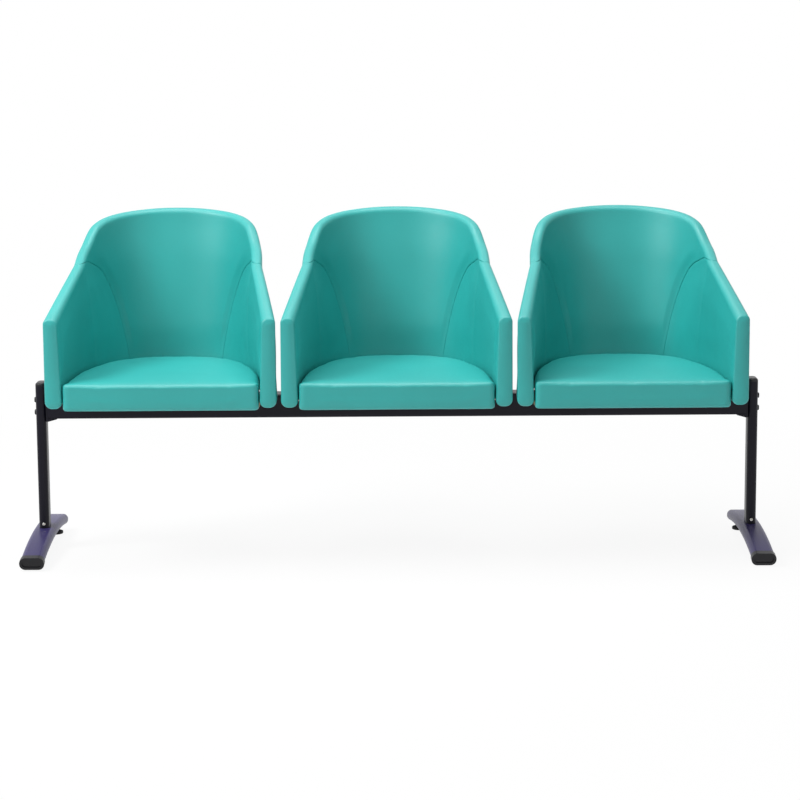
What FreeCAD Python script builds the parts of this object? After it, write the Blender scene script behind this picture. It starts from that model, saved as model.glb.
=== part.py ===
import FreeCAD, Part
import math
import os

# Beam seating: three upholstered tub chairs on one steel beam between two posts on arched feet.
# Millimetres. X runs along the row, the chairs face -Y, Z is up and the floor is at zero.
# The beam and the posts stand on the line Y = 0.

V = FreeCAD.Vector
X_AXIS = V(1, 0, 0)
Y_AXIS = V(0, 1, 0)
Z_AXIS = V(0, 0, 1)

# Row of chairs
chair_count = 3
chair_width = 568.0
chair_gap = 11.0
front_reach = 290.0             # from the beam's centre to the cushion's front
rear_reach = 291.5              # from the beam's centre to the back's rearmost edge

# Tub: upholstered arms and back, measured from the underside of the arms
tub_bottom = 414.0
arm_height = 220.0
seam_height = 328.0
back_height = 444.0
arm_setback = 5.0               # arm fronts behind the cushion's front
wall_thickness = 42.0
arm_top_thickness = 34.0
rim_thickness = 28.0
seam_foot_y = 70.0
seam_head_y = -20.0
seam_head_half_width = 239.0
back_foot_y = 236.0             # outer face of the back at its bottom
foot_rounding = 8.0
rim_rounding = 10.0
foot_squareness = 2.6           # of the D-shaped foot line, where 2 is an ellipse and more is squarer
rim_squareness = 2.5
arm_shares = (0.0, 0.35, 0.7, 1.0)
back_stations = ((7.0, 348.0), (15.0, 366.0), (30.0, 411.0), (45.0, 428.0), (65.0, 438.0))

# Bent plywood cores inside the padding
core_thickness = 12.0
core_cover = 26.0               # padding over the core's top and front edges
core_foot_rounding = 1.0
core_head_rounding = 3.0

# Seat
cushion_top = 471.0             # front edge of the seat
cushion_crown = 8.0
cushion_apron_bottom = 408.0
cushion_apron_depth = 26.0
cushion_corner = 9.0
soft_clearance = 1.0
board_thickness = 12.0
seat_front_corner = 12.0
seat_straight_side = 60.0       # from the front, before the sides follow the tub
dust_cover_thickness = 1.0
dust_cover_inset = 14.0

# Beam and its brackets
beam_bottom = 346.0
beam_height = 60.0
beam_depth = 60.0
beam_wall = 3.0
beam_corner = 6.0
bracket_thickness = 5.0
bracket_width = 50.0
bracket_spread = 280.0          # between the two brackets under one chair
bracket_front_reach = 170.0
bracket_rear_reach = 150.0
bracket_cheek = 28.0
bracket_screw_drop = 15.0       # screw's axis below the beam's top
seat_bolt_inset = 30.0          # from each end of a bracket
end_plate_thickness = 6.0
end_plate_width = 46.0
end_plate_drop = 8.0            # below the beam's underside
end_tongue_length = 22.0
end_tongue_tip = 2.0

# Posts
post_spacing = 1822.0
post_width = 26.0
post_depth = 48.0
post_corner = 11.0
post_wall = 2.0
post_top = 430.0
post_cap_dome = 9.0
post_cap_plug = 18.0
cap_lip = 2.0
post_bolt_inset = 14.0          # from the beam's top and underside

# Feet: flat oval tubes bent to one arc
foot_width = 58.0
foot_height = 28.0
foot_corner = 13.0
foot_wall = 2.5
foot_front_reach = 252.0
foot_rear_reach = 222.0
foot_front_centre = 21.0        # height of the tube's centre line at its front end
foot_rear_centre = 31.0
foot_crest_centre = 46.0
spigot_height = 50.0
spigot_clearance = 0.5
foot_screw_height = 11.0        # above the crest of the foot
toe_cap_overlap = 12.0
toe_cap_wall = 2.0
toe_cap_end = 6.0
toe_cap_recess = 3.0
heel_cap_overlap = 10.0
heel_cap_end = 3.0
cap_cut_margin = 20.0           # how far a cutting bar runs past the foot's other end

# Levelling glides
glide_front_y = -196.0
glide_rear_y = 188.0
glide_radius = 20.0
glide_rim_height = 7.0
glide_edge = 1.75
glide_height = 12.0
glide_neck_radius = 9.0
glide_socket_depth = 6.0
glide_gap = 0.3
stud_radius = 5.0
stud_length = 30.0
stud_chamfer = 1.0
running_clearance = 0.05
bush_radius = 9.0
bush_height = 20.0

# Fasteners
bolt_radius = 4.0
bolt_head_radius = 7.0
bolt_head_height = 5.0
screw_radius = 3.0
screw_head_radius = 6.0
screw_head_height = 3.0
foot_screw_head_radius = 4.0
screw_bite = 8.0                # thread beyond the wall that it holds
tub_screw_length = 44.0
tub_screw_head_radius = 5.0
tub_screw_drop = 4.0            # axis below the top of the seat board
tub_screw_places = (-200.0, -30.0)
back_screw_places = (-60.0, 60.0)
bolt_tip = 12.0                 # thread inside the beam
head_bevel = 0.3                # share of a head's height that is bevelled
fastener_clearance = 0.1
end_play = 1.0                  # how far a cutting tool runs past what it cuts

# Derived heights and places
chair_pitch = chair_width + chair_gap
half_width = chair_width / 2
arm_front_y = -(front_reach - arm_setback)
inner_half_width = half_width - wall_thickness
beam_top = beam_bottom + beam_height
bracket_top = beam_top + bracket_thickness
board_bottom = bracket_top + dust_cover_thickness
board_top = board_bottom + board_thickness
bracket_offset = bracket_spread / 2
post_x = post_spacing / 2
beam_half_length = post_x - post_width / 2 - end_plate_thickness
back_foot_centre_y = back_foot_y - wall_thickness / 2
foot_line_half_width = half_width - wall_thickness / 2
foot_line_depth = back_foot_centre_y - arm_front_y
back_head_centre_y = rear_reach - rim_thickness / 2
bracket_screw_z = beam_top - bracket_screw_drop
tub_screw_z = board_top - tub_screw_drop
beam_bolt_heights = (beam_bottom + post_bolt_inset, beam_top - post_bolt_inset)
foot_top = foot_crest_centre + foot_height / 2


def rounded_loop(corners, radii):
    """Closed flat wire through the corners, each one rounded by its own radius."""
    count = len(corners)
    arcs = []
    for index, corner in enumerate(corners):
        to_last = (corners[index - 1] - corner).normalize()
        to_next = (corners[(index + 1) % count] - corner).normalize()
        half_angle = to_last.getAngle(to_next) / 2
        radius = radii[index]
        set_back = radius / math.tan(half_angle)
        middle = corner + (to_last + to_next).normalize() * (radius / math.sin(half_angle) - radius)
        arcs.append((corner + to_last * set_back, middle, corner + to_next * set_back))
    edges = []
    for index, (start, middle, end) in enumerate(arcs):
        edges.append(Part.Arc(start, middle, end).toShape())
        edges.append(Part.LineSegment(end, arcs[(index + 1) % count][0]).toShape())
    return Part.Wire(edges)


def rectangle(half_x, half_y, radius, z):
    """Rounded rectangle about the Z axis at height z."""
    corners = [V(-half_x, -half_y, z), V(half_x, -half_y, z), V(half_x, half_y, z), V(-half_x, half_y, z)]
    return rounded_loop(corners, [radius] * 4)


def loft(wires):
    """Solid through closed wires of like edges."""
    return Part.makeLoft(wires, True, False)


def prism(wire, direction):
    """Solid from a flat wire pushed along a vector."""
    return Part.Face(wire).extrude(direction)


def mirrored(shape):
    """The same shape on the other side of the plane X = 0."""
    return shape.mirror(V(0, 0, 0), X_AXIS)


def moved(shape, x, y=0.0, z=0.0):
    """A copy of the shape at another place."""
    copy = shape.copy()
    copy.translate(V(x, y, z))
    return copy


def rod(radius, start, direction, length):
    """Cylinder from a start point along a direction."""
    return Part.makeCylinder(radius, length, start, direction)


def turned(profile, start=V(0, 0, 0), direction=Z_AXIS):
    """Solid turned from a profile of (radius, height) points; its axis runs from start along direction."""
    points = [V(radius, 0, height) for radius, height in profile]
    face = Part.Face(Part.makePolygon(points + points[:1]))
    solid = face.revolve(V(0, 0, 0), Z_AXIS, 360)
    solid.Placement = FreeCAD.Placement(start, FreeCAD.Rotation(Z_AXIS, direction))
    return solid


def headed(radius, length, head_radius, head_height, start, direction):
    """Screw or bolt: its shank runs from start along direction and its head lies behind start."""
    edge = head_height * head_bevel
    profile = [(0, -head_height), (head_radius - edge, -head_height), (head_radius, -head_height + edge)]
    profile += [(head_radius, 0), (radius, 0), (radius, length - edge), (radius - edge, length), (0, length)]
    return turned(profile, start, direction)


def wall_section(foot, head, across, foot_width_here, head_width_here, foot_round, head_round):
    """Flat section of the tub's wall, from its foot to its head, across its thickness."""
    foot_half = across * (foot_width_here / 2)
    head_half = across * (head_width_here / 2)
    corners = [foot - foot_half, foot + foot_half, head + head_half, head - head_half]
    return rounded_loop(corners, [foot_round, foot_round, head_round, head_round])


def foot_line_x(y):
    """Distance of the tub's foot line from the chair's middle at a place y, on the wall's centre."""
    share = (y - arm_front_y) / foot_line_depth
    return foot_line_half_width * (1 - share ** foot_squareness) ** (1 / foot_squareness)


def foot_line_y(x):
    """Place of the tub's foot line behind the arms' fronts at a distance x from the chair's middle."""
    share = abs(x) / foot_line_half_width
    return arm_front_y + foot_line_depth * (1 - share ** foot_squareness) ** (1 / foot_squareness)


def outward(across_share, behind_share, half_across, depth, squareness):
    """Level normal of a squared ellipse where it stands at these shares of its half width and depth."""
    power = squareness - 1
    return V(across_share ** power / half_across, behind_share ** power / depth, 0).normalize()


def foot_normal(foot):
    """Level normal of the tub's foot line at a point on it."""
    across_share = foot.x / foot_line_half_width
    behind_share = (foot.y - arm_front_y) / foot_line_depth
    return outward(across_share, behind_share, foot_line_half_width, foot_line_depth, foot_squareness)


def arm_station(share):
    """Centre points and widths of the arm's section, from its front, 0, to the seam, 1."""
    top_width = arm_top_thickness + (rim_thickness - arm_top_thickness) * share
    outer_head_x = half_width + (seam_head_half_width - half_width) * share
    foot_y = arm_front_y + (seam_foot_y - arm_front_y) * share
    head_y = arm_front_y + (seam_head_y - arm_front_y) * share
    head_z = tub_bottom + arm_height + (seam_height - arm_height) * share
    foot = V(foot_line_x(foot_y), foot_y, tub_bottom)
    head = V(outer_head_x - top_width / 2, head_y, head_z)
    return foot, head, (foot_normal(foot) + X_AXIS).normalize(), top_width


def back_station(turn, height):
    """Centre points of the back's section; the turn is 0 at the right seam and 90 in the middle."""
    seam_share = (seam_foot_y - arm_front_y) / foot_line_depth
    seam_angle = math.asin(seam_share ** (foot_squareness / 2))
    foot_angle = seam_angle + (math.pi / 2 - seam_angle) * turn / 90
    foot_x = foot_line_half_width * math.cos(foot_angle) ** (2 / foot_squareness)
    foot_y = arm_front_y + foot_line_depth * math.sin(foot_angle) ** (2 / foot_squareness)
    foot = V(foot_x, foot_y, tub_bottom)
    along = math.cos(math.radians(turn)) ** (2 / rim_squareness)
    behind = math.sin(math.radians(turn)) ** (2 / rim_squareness)
    rim_half_width = seam_head_half_width - rim_thickness / 2
    rim_depth = back_head_centre_y - seam_head_y
    head = V(rim_half_width * along, seam_head_y + rim_depth * behind, tub_bottom + height)
    rim_normal = outward(along, behind, rim_half_width, rim_depth, rim_squareness)
    return foot, head, (foot_normal(foot) + rim_normal).normalize(), rim_thickness


def full_section(station):
    """Section of the padding at a station."""
    foot, head, across, top_width = station
    return wall_section(foot, head, across, wall_thickness, top_width, foot_rounding, rim_rounding)


def core_section(station):
    """Section of the plywood core inside the padding at a station."""
    foot, head, across, top_width = station
    rise = head - foot
    core_head = foot + rise * (1 - core_cover / rise.Length)
    return wall_section(foot, core_head, across, core_thickness, core_thickness,
                        core_foot_rounding, core_head_rounding)


def flipped(station):
    """The same station on the left side."""
    foot, head, across, top_width = station
    return V(-foot.x, foot.y, foot.z), V(-head.x, head.y, head.z), V(-across.x, across.y, 0), top_width


def back_stations_all():
    """Every station of the back from the right seam round to the left seam."""
    right = [arm_station(1.0)] + [back_station(turn, height) for turn, height in back_stations]
    middle = back_station(90.0, back_height)
    middle = (V(0, middle[0].y, middle[0].z), V(0, middle[1].y, middle[1].z), Y_AXIS, rim_thickness)
    return right + [middle] + [flipped(station) for station in reversed(right)]


def make_tub():
    """Right arm, its core, the back and its core, about the chair's own middle."""
    stations = back_stations_all()
    back_outside = loft([full_section(station) for station in stations])
    back_core = loft([core_section(station) for station in stations])
    core_start = core_cover / (seam_foot_y - arm_front_y)
    arm_outside = loft([full_section(arm_station(share)) for share in arm_shares])
    arm_core = loft([core_section(arm_station(share)) for share in (core_start,) + arm_shares[1:]])
    return arm_outside.cut(arm_core), arm_core, back_outside.cut(back_core), back_core


def wall_inside(station, level, clearance):
    """Point on the inner face of the tub's wall at a height, moved in by a clearance."""
    foot, head, across, top_width = station
    share = (level - foot.z) / (head.z - foot.z)
    half_wall = (wall_thickness + (top_width - wall_thickness) * share) / 2
    return foot + (head - foot) * share - across * (half_wall + clearance)


def seat_side_point(station, clearance):
    """Point of the seat's side that stays inside the tub's wall over the seat's whole height."""
    across = station[2]
    levels = (board_bottom, cushion_top + cushion_crown)
    return min([wall_inside(station, level, clearance) for level in levels], key=lambda point: point.dot(across))


def seat_side_points(inset):
    """Points of the seat's right side and rear, from the front to the middle, just inside the tub."""
    clearance = soft_clearance + inset
    stations = [arm_station(share) for share in arm_shares[1:]]
    stations += [back_station(turn, height) for turn, height in back_stations]
    points = [V(inner_half_width - clearance, seat_straight_side - front_reach, 0)]
    points += [seat_side_point(station, clearance) for station in stations]
    points.append(V(0, back_foot_centre_y - wall_thickness / 2 - clearance, 0))
    return points


def seat_outline(inset, front_y, z):
    """Outline inside the tub at height z: straight front, rounded corners and a rear that follows the tub."""
    right = [V(point.x, point.y, z) for point in seat_side_points(inset)]
    left = [V(-point.x, point.y, z) for point in reversed(right)]
    rear = Part.BSplineCurve()
    rear.interpolate(Points=right + left[1:], InitialTangent=Y_AXIS, FinalTangent=-Y_AXIS)
    edges = [rear.toShape()]
    side_x = right[0].x
    bow = seat_front_corner * (1 - math.sqrt(0.5))
    corners = []
    for side in (-1, 1):
        side_end = V(side * side_x, front_y + seat_front_corner, z)
        front_end = V(side * (side_x - seat_front_corner), front_y, z)
        middle = V(side * (side_x - bow), front_y + bow, z)
        edges.append(Part.LineSegment(V(side * side_x, right[0].y, z), side_end).toShape())
        edges.append(Part.Arc(side_end, middle, front_end).toShape())
        corners.append(front_end)
    edges.append(Part.LineSegment(corners[0], corners[1]).toShape())
    return Part.Wire(Part.__sortEdges__(edges))


def make_cushion():
    """Crowned seat cushion with an apron that hangs in front of the board."""
    outline = seat_outline(0.0, -front_reach, cushion_apron_bottom)
    rear_y = seat_side_points(0.0)[-1].y
    crest_y = (rear_y - front_reach) / 2
    half_depth = (rear_y + front_reach) / 2
    crown_radius = half_depth ** 2 / (2 * cushion_crown) + cushion_crown / 2
    crown_start = V(-half_width, crest_y, cushion_top + cushion_crown - crown_radius)
    block = prism(outline, Z_AXIS * (crown_radius / 2)).common(rod(crown_radius, crown_start, X_AXIS, chair_width))
    top_edges = [edge for edge in block.Edges if edge.BoundBox.ZMin > cushion_top - cushion_corner]
    bottom_edges = [edge for edge in block.Edges if edge.BoundBox.ZMax < cushion_apron_bottom + 1]
    cushion = block.makeFillet(cushion_corner, top_edges + bottom_edges)
    recess_front = -(front_reach - cushion_apron_depth)
    recess = Part.makeBox(chair_width, rear_reach - recess_front, board_top - cushion_apron_bottom)
    recess.translate(V(-half_width, recess_front, cushion_apron_bottom))
    return cushion.cut(recess)


def bracket_bolt_places():
    """Places of the bolts that hold one bracket to the seat board."""
    return (-bracket_front_reach + seat_bolt_inset, bracket_rear_reach - seat_bolt_inset)


def make_bracket():
    """Saddle that sits on the beam, with a cheek before and behind it, about the bracket's middle."""
    half = bracket_width / 2
    plate = Part.makeBox(bracket_width, bracket_front_reach + bracket_rear_reach, bracket_thickness)
    plate.translate(V(-half, -bracket_front_reach, beam_top))
    bracket = plate
    for side in (-1, 1):
        inner = side * beam_depth / 2
        cheek = Part.makeBox(bracket_width, bracket_thickness, bracket_cheek)
        cheek.translate(V(-half, min(inner, inner + side * bracket_thickness), beam_top - bracket_cheek))
        bracket = bracket.fuse(cheek)
        bracket = bracket.cut(rod(screw_radius + running_clearance, V(0, 0, bracket_screw_z), Y_AXIS * side,
                                  beam_depth))
    for place in bracket_bolt_places():
        bracket = bracket.cut(rod(screw_radius + fastener_clearance, V(0, place, 0), Z_AXIS, board_top))
    return bracket.removeSplitter()


def make_bracket_screws():
    """The two screws that hold one bracket to the beam."""
    screws = []
    for side in (-1, 1):
        start = V(0, side * (beam_depth / 2 + bracket_thickness), bracket_screw_z)
        length = bracket_thickness + beam_wall + screw_bite
        screws.append(headed(screw_radius, length, screw_head_radius, screw_head_height, start, Y_AXIS * -side))
    return screws


def make_seat_bolts():
    """The bolts that hold one bracket to the seat board."""
    length = board_top - beam_top
    return [headed(screw_radius, length, screw_head_radius, screw_head_height, V(0, place, beam_top), Z_AXIS)
            for place in bracket_bolt_places()]


def make_tub_screws():
    """Screws from the tub's cores into the edges of the seat board, about the chair's middle."""
    starts = [(V(side * (foot_line_x(place) + core_thickness / 2), place, tub_screw_z), X_AXIS * -side)
              for side in (-1, 1) for place in tub_screw_places]
    starts += [(V(place, foot_line_y(place) + core_thickness / 2, tub_screw_z), Y_AXIS * -1)
               for place in back_screw_places]
    return [headed(screw_radius, tub_screw_length, tub_screw_head_radius, screw_head_height, start, direction)
            for start, direction in starts]


def make_chair():
    """All the pieces of one chair about its own middle, by name."""
    arm, arm_core, back, back_core = make_tub()
    board_front_y = cushion_apron_depth - front_reach
    board = prism(seat_outline(0.0, board_front_y, board_bottom), Z_AXIS * board_thickness)
    for screw in make_tub_screws():
        arm, arm_core, back, back_core, board = [
            piece.cut(screw) for piece in (arm, arm_core, back, back_core, board)]
    cover_outline = seat_outline(dust_cover_inset, board_front_y + dust_cover_inset, bracket_top)
    dust_cover = prism(cover_outline, Z_AXIS * dust_cover_thickness)
    for side in (-1, 1):
        for place in bracket_bolt_places():
            hole = rod(screw_radius + fastener_clearance, V(side * bracket_offset, place, beam_top), Z_AXIS,
                       board_top)
            dust_cover = dust_cover.cut(hole)
            board = board.cut(hole)
    return {
        "back": back,
        "back_core": back_core,
        "right_arm": arm,
        "left_arm": mirrored(arm),
        "right_arm_core": arm_core,
        "left_arm_core": mirrored(arm_core),
        "seat_cushion": make_cushion(),
        "seat_board": board,
        "dust_cover": dust_cover,
        "left_bracket": moved(make_bracket(), -bracket_offset),
        "right_bracket": moved(make_bracket(), bracket_offset),
    }


def foot_arc():
    """The centre line of a foot, seen from its side."""
    front = V(0, -foot_front_reach, foot_front_centre)
    rear = V(0, foot_rear_reach, foot_rear_centre)
    return Part.Arc(front, V(0, 0, foot_crest_centre), rear).toShape().Curve


def arc_turn(y):
    """Degrees from the top of the foot's arc to the place y, towards the front."""
    arc = foot_arc()
    return math.degrees(math.asin((arc.Center.y - y) / arc.Radius))


def bent_bar(half_x, half_z, corner, front_turn, rear_turn):
    """Oval bar along the foot's arc between two turns, about the foot's own middle."""
    arc = foot_arc()
    top = arc.Center + Z_AXIS * arc.Radius
    corners = [top + V(-half_x, 0, -half_z), top + V(half_x, 0, -half_z)]
    corners += [top + V(half_x, 0, half_z), top + V(-half_x, 0, half_z)]
    face = Part.Face(rounded_loop(corners, [corner] * 4))
    face.rotate(arc.Center, X_AXIS, front_turn)
    return face.revolve(arc.Center, X_AXIS, rear_turn - front_turn)


def foot_bar(offset, front_extra=0.0, rear_extra=0.0):
    """The foot's outline grown by an offset and lengthened at its ends, in millimetres."""
    per_mm = math.degrees(1 / foot_arc().Radius)
    front = arc_turn(-foot_front_reach) + front_extra * per_mm
    rear = arc_turn(foot_rear_reach) - rear_extra * per_mm
    return bent_bar(foot_width / 2 + offset, foot_height / 2 + offset, foot_corner + offset, front, rear)


def make_foot():
    """Bent oval tube with a welded spigot that the post slides over."""
    outside = foot_bar(0.0)
    inset = post_wall + spigot_clearance
    spigot_wire = rectangle(post_width / 2 - inset, post_depth / 2 - inset, post_corner - inset, foot_crest_centre)
    spigot = prism(spigot_wire, Z_AXIS * (foot_height / 2 + spigot_height))
    foot = outside.cut(foot_bar(-foot_wall, end_play, end_play)).fuse(spigot.cut(outside))
    for place in (glide_front_y, glide_rear_y):
        foot = foot.cut(rod(bush_radius, V(0, place, 0), Z_AXIS, foot_crest_centre - foot_height / 2))
    for screw in make_foot_screws():
        foot = foot.cut(screw)
    return foot.removeSplitter()


def make_foot_screws():
    """The screws before and behind the post that hold it to the spigot."""
    length = post_wall + spigot_clearance + screw_bite
    return [headed(screw_radius, length, foot_screw_head_radius, screw_head_height,
                   V(0, side * post_depth / 2, foot_top + foot_screw_height), Y_AXIS * -side)
            for side in (-1, 1)]


def make_post():
    """Oval tube, cut at its lower end to the crest of the foot."""
    height = post_top - foot_crest_centre
    outside = rectangle(post_width / 2, post_depth / 2, post_corner, foot_crest_centre)
    inside = rectangle(post_width / 2 - post_wall, post_depth / 2 - post_wall, post_corner - post_wall,
                       foot_crest_centre - end_play)
    post = prism(outside, Z_AXIS * height).cut(prism(inside, Z_AXIS * (height + 2 * end_play)))
    post = post.cut(foot_bar(0.0))
    for bolt_z in beam_bolt_heights:
        post = post.cut(rod(bolt_radius + fastener_clearance, V(-post_width, 0, bolt_z), X_AXIS, 2 * post_width))
    for screw in make_foot_screws():
        post = post.cut(screw)
    return post


def make_post_cap():
    """Domed plastic cap with a plug inside the post."""
    dome = prism(rectangle(post_width / 2, post_depth / 2, post_corner, post_top), Z_AXIS * post_cap_dome)
    edges = [edge for edge in dome.Edges if edge.BoundBox.ZMin > post_top + post_cap_dome / 2]
    dome = dome.makeFillet(post_cap_dome - cap_lip, edges)
    inset = post_wall + fastener_clearance
    plug = rectangle(post_width / 2 - inset, post_depth / 2 - inset, post_corner - inset, post_top - post_cap_plug)
    return dome.fuse(prism(plug, Z_AXIS * post_cap_plug)).removeSplitter()


def make_toe_cap():
    """Sleeve over the front end of the foot with a recessed face."""
    whole = foot_bar(toe_cap_wall, toe_cap_end)
    keep = arc_turn(-foot_front_reach) - math.degrees(toe_cap_overlap / foot_arc().Radius)
    behind = bent_bar(foot_width, foot_height, foot_corner, keep, arc_turn(foot_rear_reach + cap_cut_margin))
    cap = whole.cut(behind).cut(foot_bar(0.0))
    recess = foot_bar(-foot_wall - toe_cap_wall, toe_cap_end + end_play).cut(trim_to_recess())
    return cap.cut(recess)


def trim_to_recess():
    """Everything of the foot's bar that lies behind the bottom of the toe cap's recess."""
    return foot_bar(toe_cap_wall, toe_cap_end - toe_cap_recess)


def make_heel_cap():
    """Flat plastic end with a plug inside the rear end of the foot."""
    plate = foot_bar(0.0, 0.0, heel_cap_end).cut(foot_bar(end_play, end_play, 0.0))
    inside = foot_bar(-foot_wall - fastener_clearance)
    keep = arc_turn(foot_rear_reach) + math.degrees(heel_cap_overlap / foot_arc().Radius)
    front = bent_bar(foot_width, foot_height, foot_corner, arc_turn(-foot_front_reach - cap_cut_margin), keep)
    return plate.fuse(inside.cut(front)).removeSplitter()


def make_glide_pad():
    """Rubber-soled glide with a socket for its stud."""
    bore = stud_radius + running_clearance
    profile = [(0, 0), (glide_radius - glide_edge, 0), (glide_radius, glide_edge)]
    profile += [(glide_radius, glide_rim_height), (glide_neck_radius, glide_height), (bore, glide_height)]
    profile += [(bore, glide_height - glide_socket_depth), (0, glide_height - glide_socket_depth)]
    return turned(profile)


def make_glide_stud():
    """Threaded stud of a glide, drawn without its thread."""
    foot_z = glide_height - glide_socket_depth + running_clearance
    profile = [(0, foot_z), (stud_radius, foot_z), (stud_radius, foot_z + stud_length - stud_chamfer)]
    profile += [(stud_radius - stud_chamfer, foot_z + stud_length), (0, foot_z + stud_length)]
    return turned(profile)


def make_glide_bush():
    """Threaded bush welded into the underside of the foot, which takes the stud."""
    bore = stud_radius + running_clearance
    foot_z = glide_height + glide_gap
    head_z = foot_z + bush_height
    return turned([(bore, foot_z), (bush_radius, foot_z), (bush_radius, head_z), (bore, head_z)])


def box_tube(half_length, depth, bottom, height, corner):
    """Bar along X with a rounded rectangular section about Y = 0."""
    corners = [V(-half_length, -depth / 2, bottom), V(-half_length, depth / 2, bottom)]
    corners += [V(-half_length, depth / 2, bottom + height), V(-half_length, -depth / 2, bottom + height)]
    return prism(rounded_loop(corners, [corner] * 4), X_AXIS * (2 * half_length))


def make_beam():
    """Rectangular steel tube with holes for the brackets' screws."""
    outside = box_tube(beam_half_length, beam_depth, beam_bottom, beam_height, beam_corner)
    inside = box_tube(beam_half_length + end_play, beam_depth - 2 * beam_wall, beam_bottom + beam_wall,
                      beam_height - 2 * beam_wall, beam_corner - beam_wall)
    beam = outside.cut(inside)
    for place in bracket_places():
        beam = beam.cut(rod(screw_radius + running_clearance, V(place, -beam_depth, bracket_screw_z), Y_AXIS,
                            2 * beam_depth))
    return beam


def make_end_bracket():
    """Plate on the right end of the beam with a tapered tongue under it."""
    x = beam_half_length
    plate = Part.makeBox(end_plate_thickness, end_plate_width, beam_height + end_plate_drop)
    plate.translate(V(x, -end_plate_width / 2, beam_bottom - end_plate_drop))
    points = [V(x, 0, beam_bottom), V(x - end_tongue_length, 0, beam_bottom)]
    points += [V(x - end_tongue_length, 0, beam_bottom - end_tongue_tip), V(x, 0, beam_bottom - end_plate_drop)]
    tongue = prism(Part.makePolygon(points + points[:1]), Y_AXIS * end_plate_width)
    bracket = plate.fuse(moved(tongue, 0, -end_plate_width / 2))
    for bolt_z in beam_bolt_heights:
        bracket = bracket.cut(rod(bolt_radius + fastener_clearance, V(x - bolt_radius, 0, bolt_z), X_AXIS,
                                  post_width))
    return bracket.removeSplitter()


def make_beam_bolts():
    """The bolts through the right post into the end of the beam."""
    length = post_width + end_plate_thickness + bolt_tip
    start_x = post_x + post_width / 2
    return [headed(bolt_radius, length, bolt_head_radius, bolt_head_height, V(start_x, 0, bolt_z), X_AXIS * -1)
            for bolt_z in beam_bolt_heights]


def chair_places():
    """The middle of each chair along the row."""
    return [(index - (chair_count - 1) / 2) * chair_pitch for index in range(chair_count)]


def bracket_places():
    """The middle of each bracket along the row."""
    return [place + side * bracket_offset for place in chair_places() for side in (-1, 1)]


def group(shapes):
    """Separate solids kept together under one name."""
    return Part.Compound(shapes)


def both_sides(shape):
    """The right shape and its mirror image, by side."""
    return {"left": mirrored(shape), "right": shape}


def make_parts():
    """Every piece of the seating in its place, by name."""
    parts = {}
    for number, place in enumerate(chair_places(), start=1):
        for name, shape in make_chair().items():
            parts[f"chair_{number}_{name}"] = moved(shape, place)
    screws = make_tub_screws()
    parts["tub_screws"] = group([moved(screw, place) for place in chair_places() for screw in screws])
    parts["bracket_screws"] = group([moved(screw, x) for x in bracket_places() for screw in make_bracket_screws()])
    parts["seat_bolts"] = group([moved(bolt, x) for x in bracket_places() for bolt in make_seat_bolts()])
    parts["beam"] = make_beam()
    right_pieces = {
        "end_bracket": make_end_bracket(),
        "post": moved(make_post(), post_x),
        "post_cap": moved(make_post_cap(), post_x),
        "foot": moved(make_foot(), post_x),
        "toe_cap": moved(make_toe_cap(), post_x),
        "heel_cap": moved(make_heel_cap(), post_x),
        "front_glide_pad": moved(make_glide_pad(), post_x, glide_front_y),
        "rear_glide_pad": moved(make_glide_pad(), post_x, glide_rear_y),
        "front_glide_stud": moved(make_glide_stud(), post_x, glide_front_y),
        "rear_glide_stud": moved(make_glide_stud(), post_x, glide_rear_y),
    }
    for name, shape in right_pieces.items():
        for side, sided_shape in both_sides(shape).items():
            parts[f"{side}_{name}"] = sided_shape
    bolts = make_beam_bolts()
    parts["beam_bolts"] = group(bolts + [mirrored(bolt) for bolt in bolts])
    parts["foot_screws"] = group([moved(screw, x) for x in (-post_x, post_x) for screw in make_foot_screws()])
    parts["glide_bushes"] = group([moved(make_glide_bush(), x, y) for x in (-post_x, post_x)
                                   for y in (glide_front_y, glide_rear_y)])
    return parts


def main():
    """Write one STEP file for each piece."""
    os.makedirs("parts", exist_ok=True)
    for name, shape in make_parts().items():
        shape.exportStep(f"parts/{name}.step")


main()
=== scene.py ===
"""Looks of a beam seating row: three upholstered tub chairs on one steel beam with two arched feet.

Metres, +Z up, the chairs face -Y. Each shape is a surface of two parameters, worked out with numpy.
"""
import logging
import math
from dataclasses import dataclass
from enum import Enum

import bmesh
import bpy
import numpy as np
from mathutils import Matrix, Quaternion, Vector
from numpy.typing import NDArray


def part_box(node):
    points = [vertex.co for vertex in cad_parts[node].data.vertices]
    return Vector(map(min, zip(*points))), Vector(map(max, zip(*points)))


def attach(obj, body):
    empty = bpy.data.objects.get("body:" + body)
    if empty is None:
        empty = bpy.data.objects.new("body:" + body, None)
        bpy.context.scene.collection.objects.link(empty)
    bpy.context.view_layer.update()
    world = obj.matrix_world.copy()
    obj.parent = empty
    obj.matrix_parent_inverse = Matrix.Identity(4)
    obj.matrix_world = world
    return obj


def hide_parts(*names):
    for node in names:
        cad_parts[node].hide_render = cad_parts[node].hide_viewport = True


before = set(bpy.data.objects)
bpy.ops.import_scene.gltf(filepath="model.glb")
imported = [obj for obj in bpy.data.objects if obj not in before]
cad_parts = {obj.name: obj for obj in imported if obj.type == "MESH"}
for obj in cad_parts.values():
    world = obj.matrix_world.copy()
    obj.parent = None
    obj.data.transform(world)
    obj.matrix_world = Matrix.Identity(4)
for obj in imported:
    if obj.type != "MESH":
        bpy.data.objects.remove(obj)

Array = NDArray[np.float64]
Colour = tuple[float, float, float]
Inputs = dict[str | int, object]
Place = tuple[float, float, float]
Material = bpy.types.Material
Socket = bpy.types.NodeSocket
LOG = logging.getLogger("beam_seating")
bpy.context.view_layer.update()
FRAME_BODY = "frame"
CHAIRS = (1, 2, 3)


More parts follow.
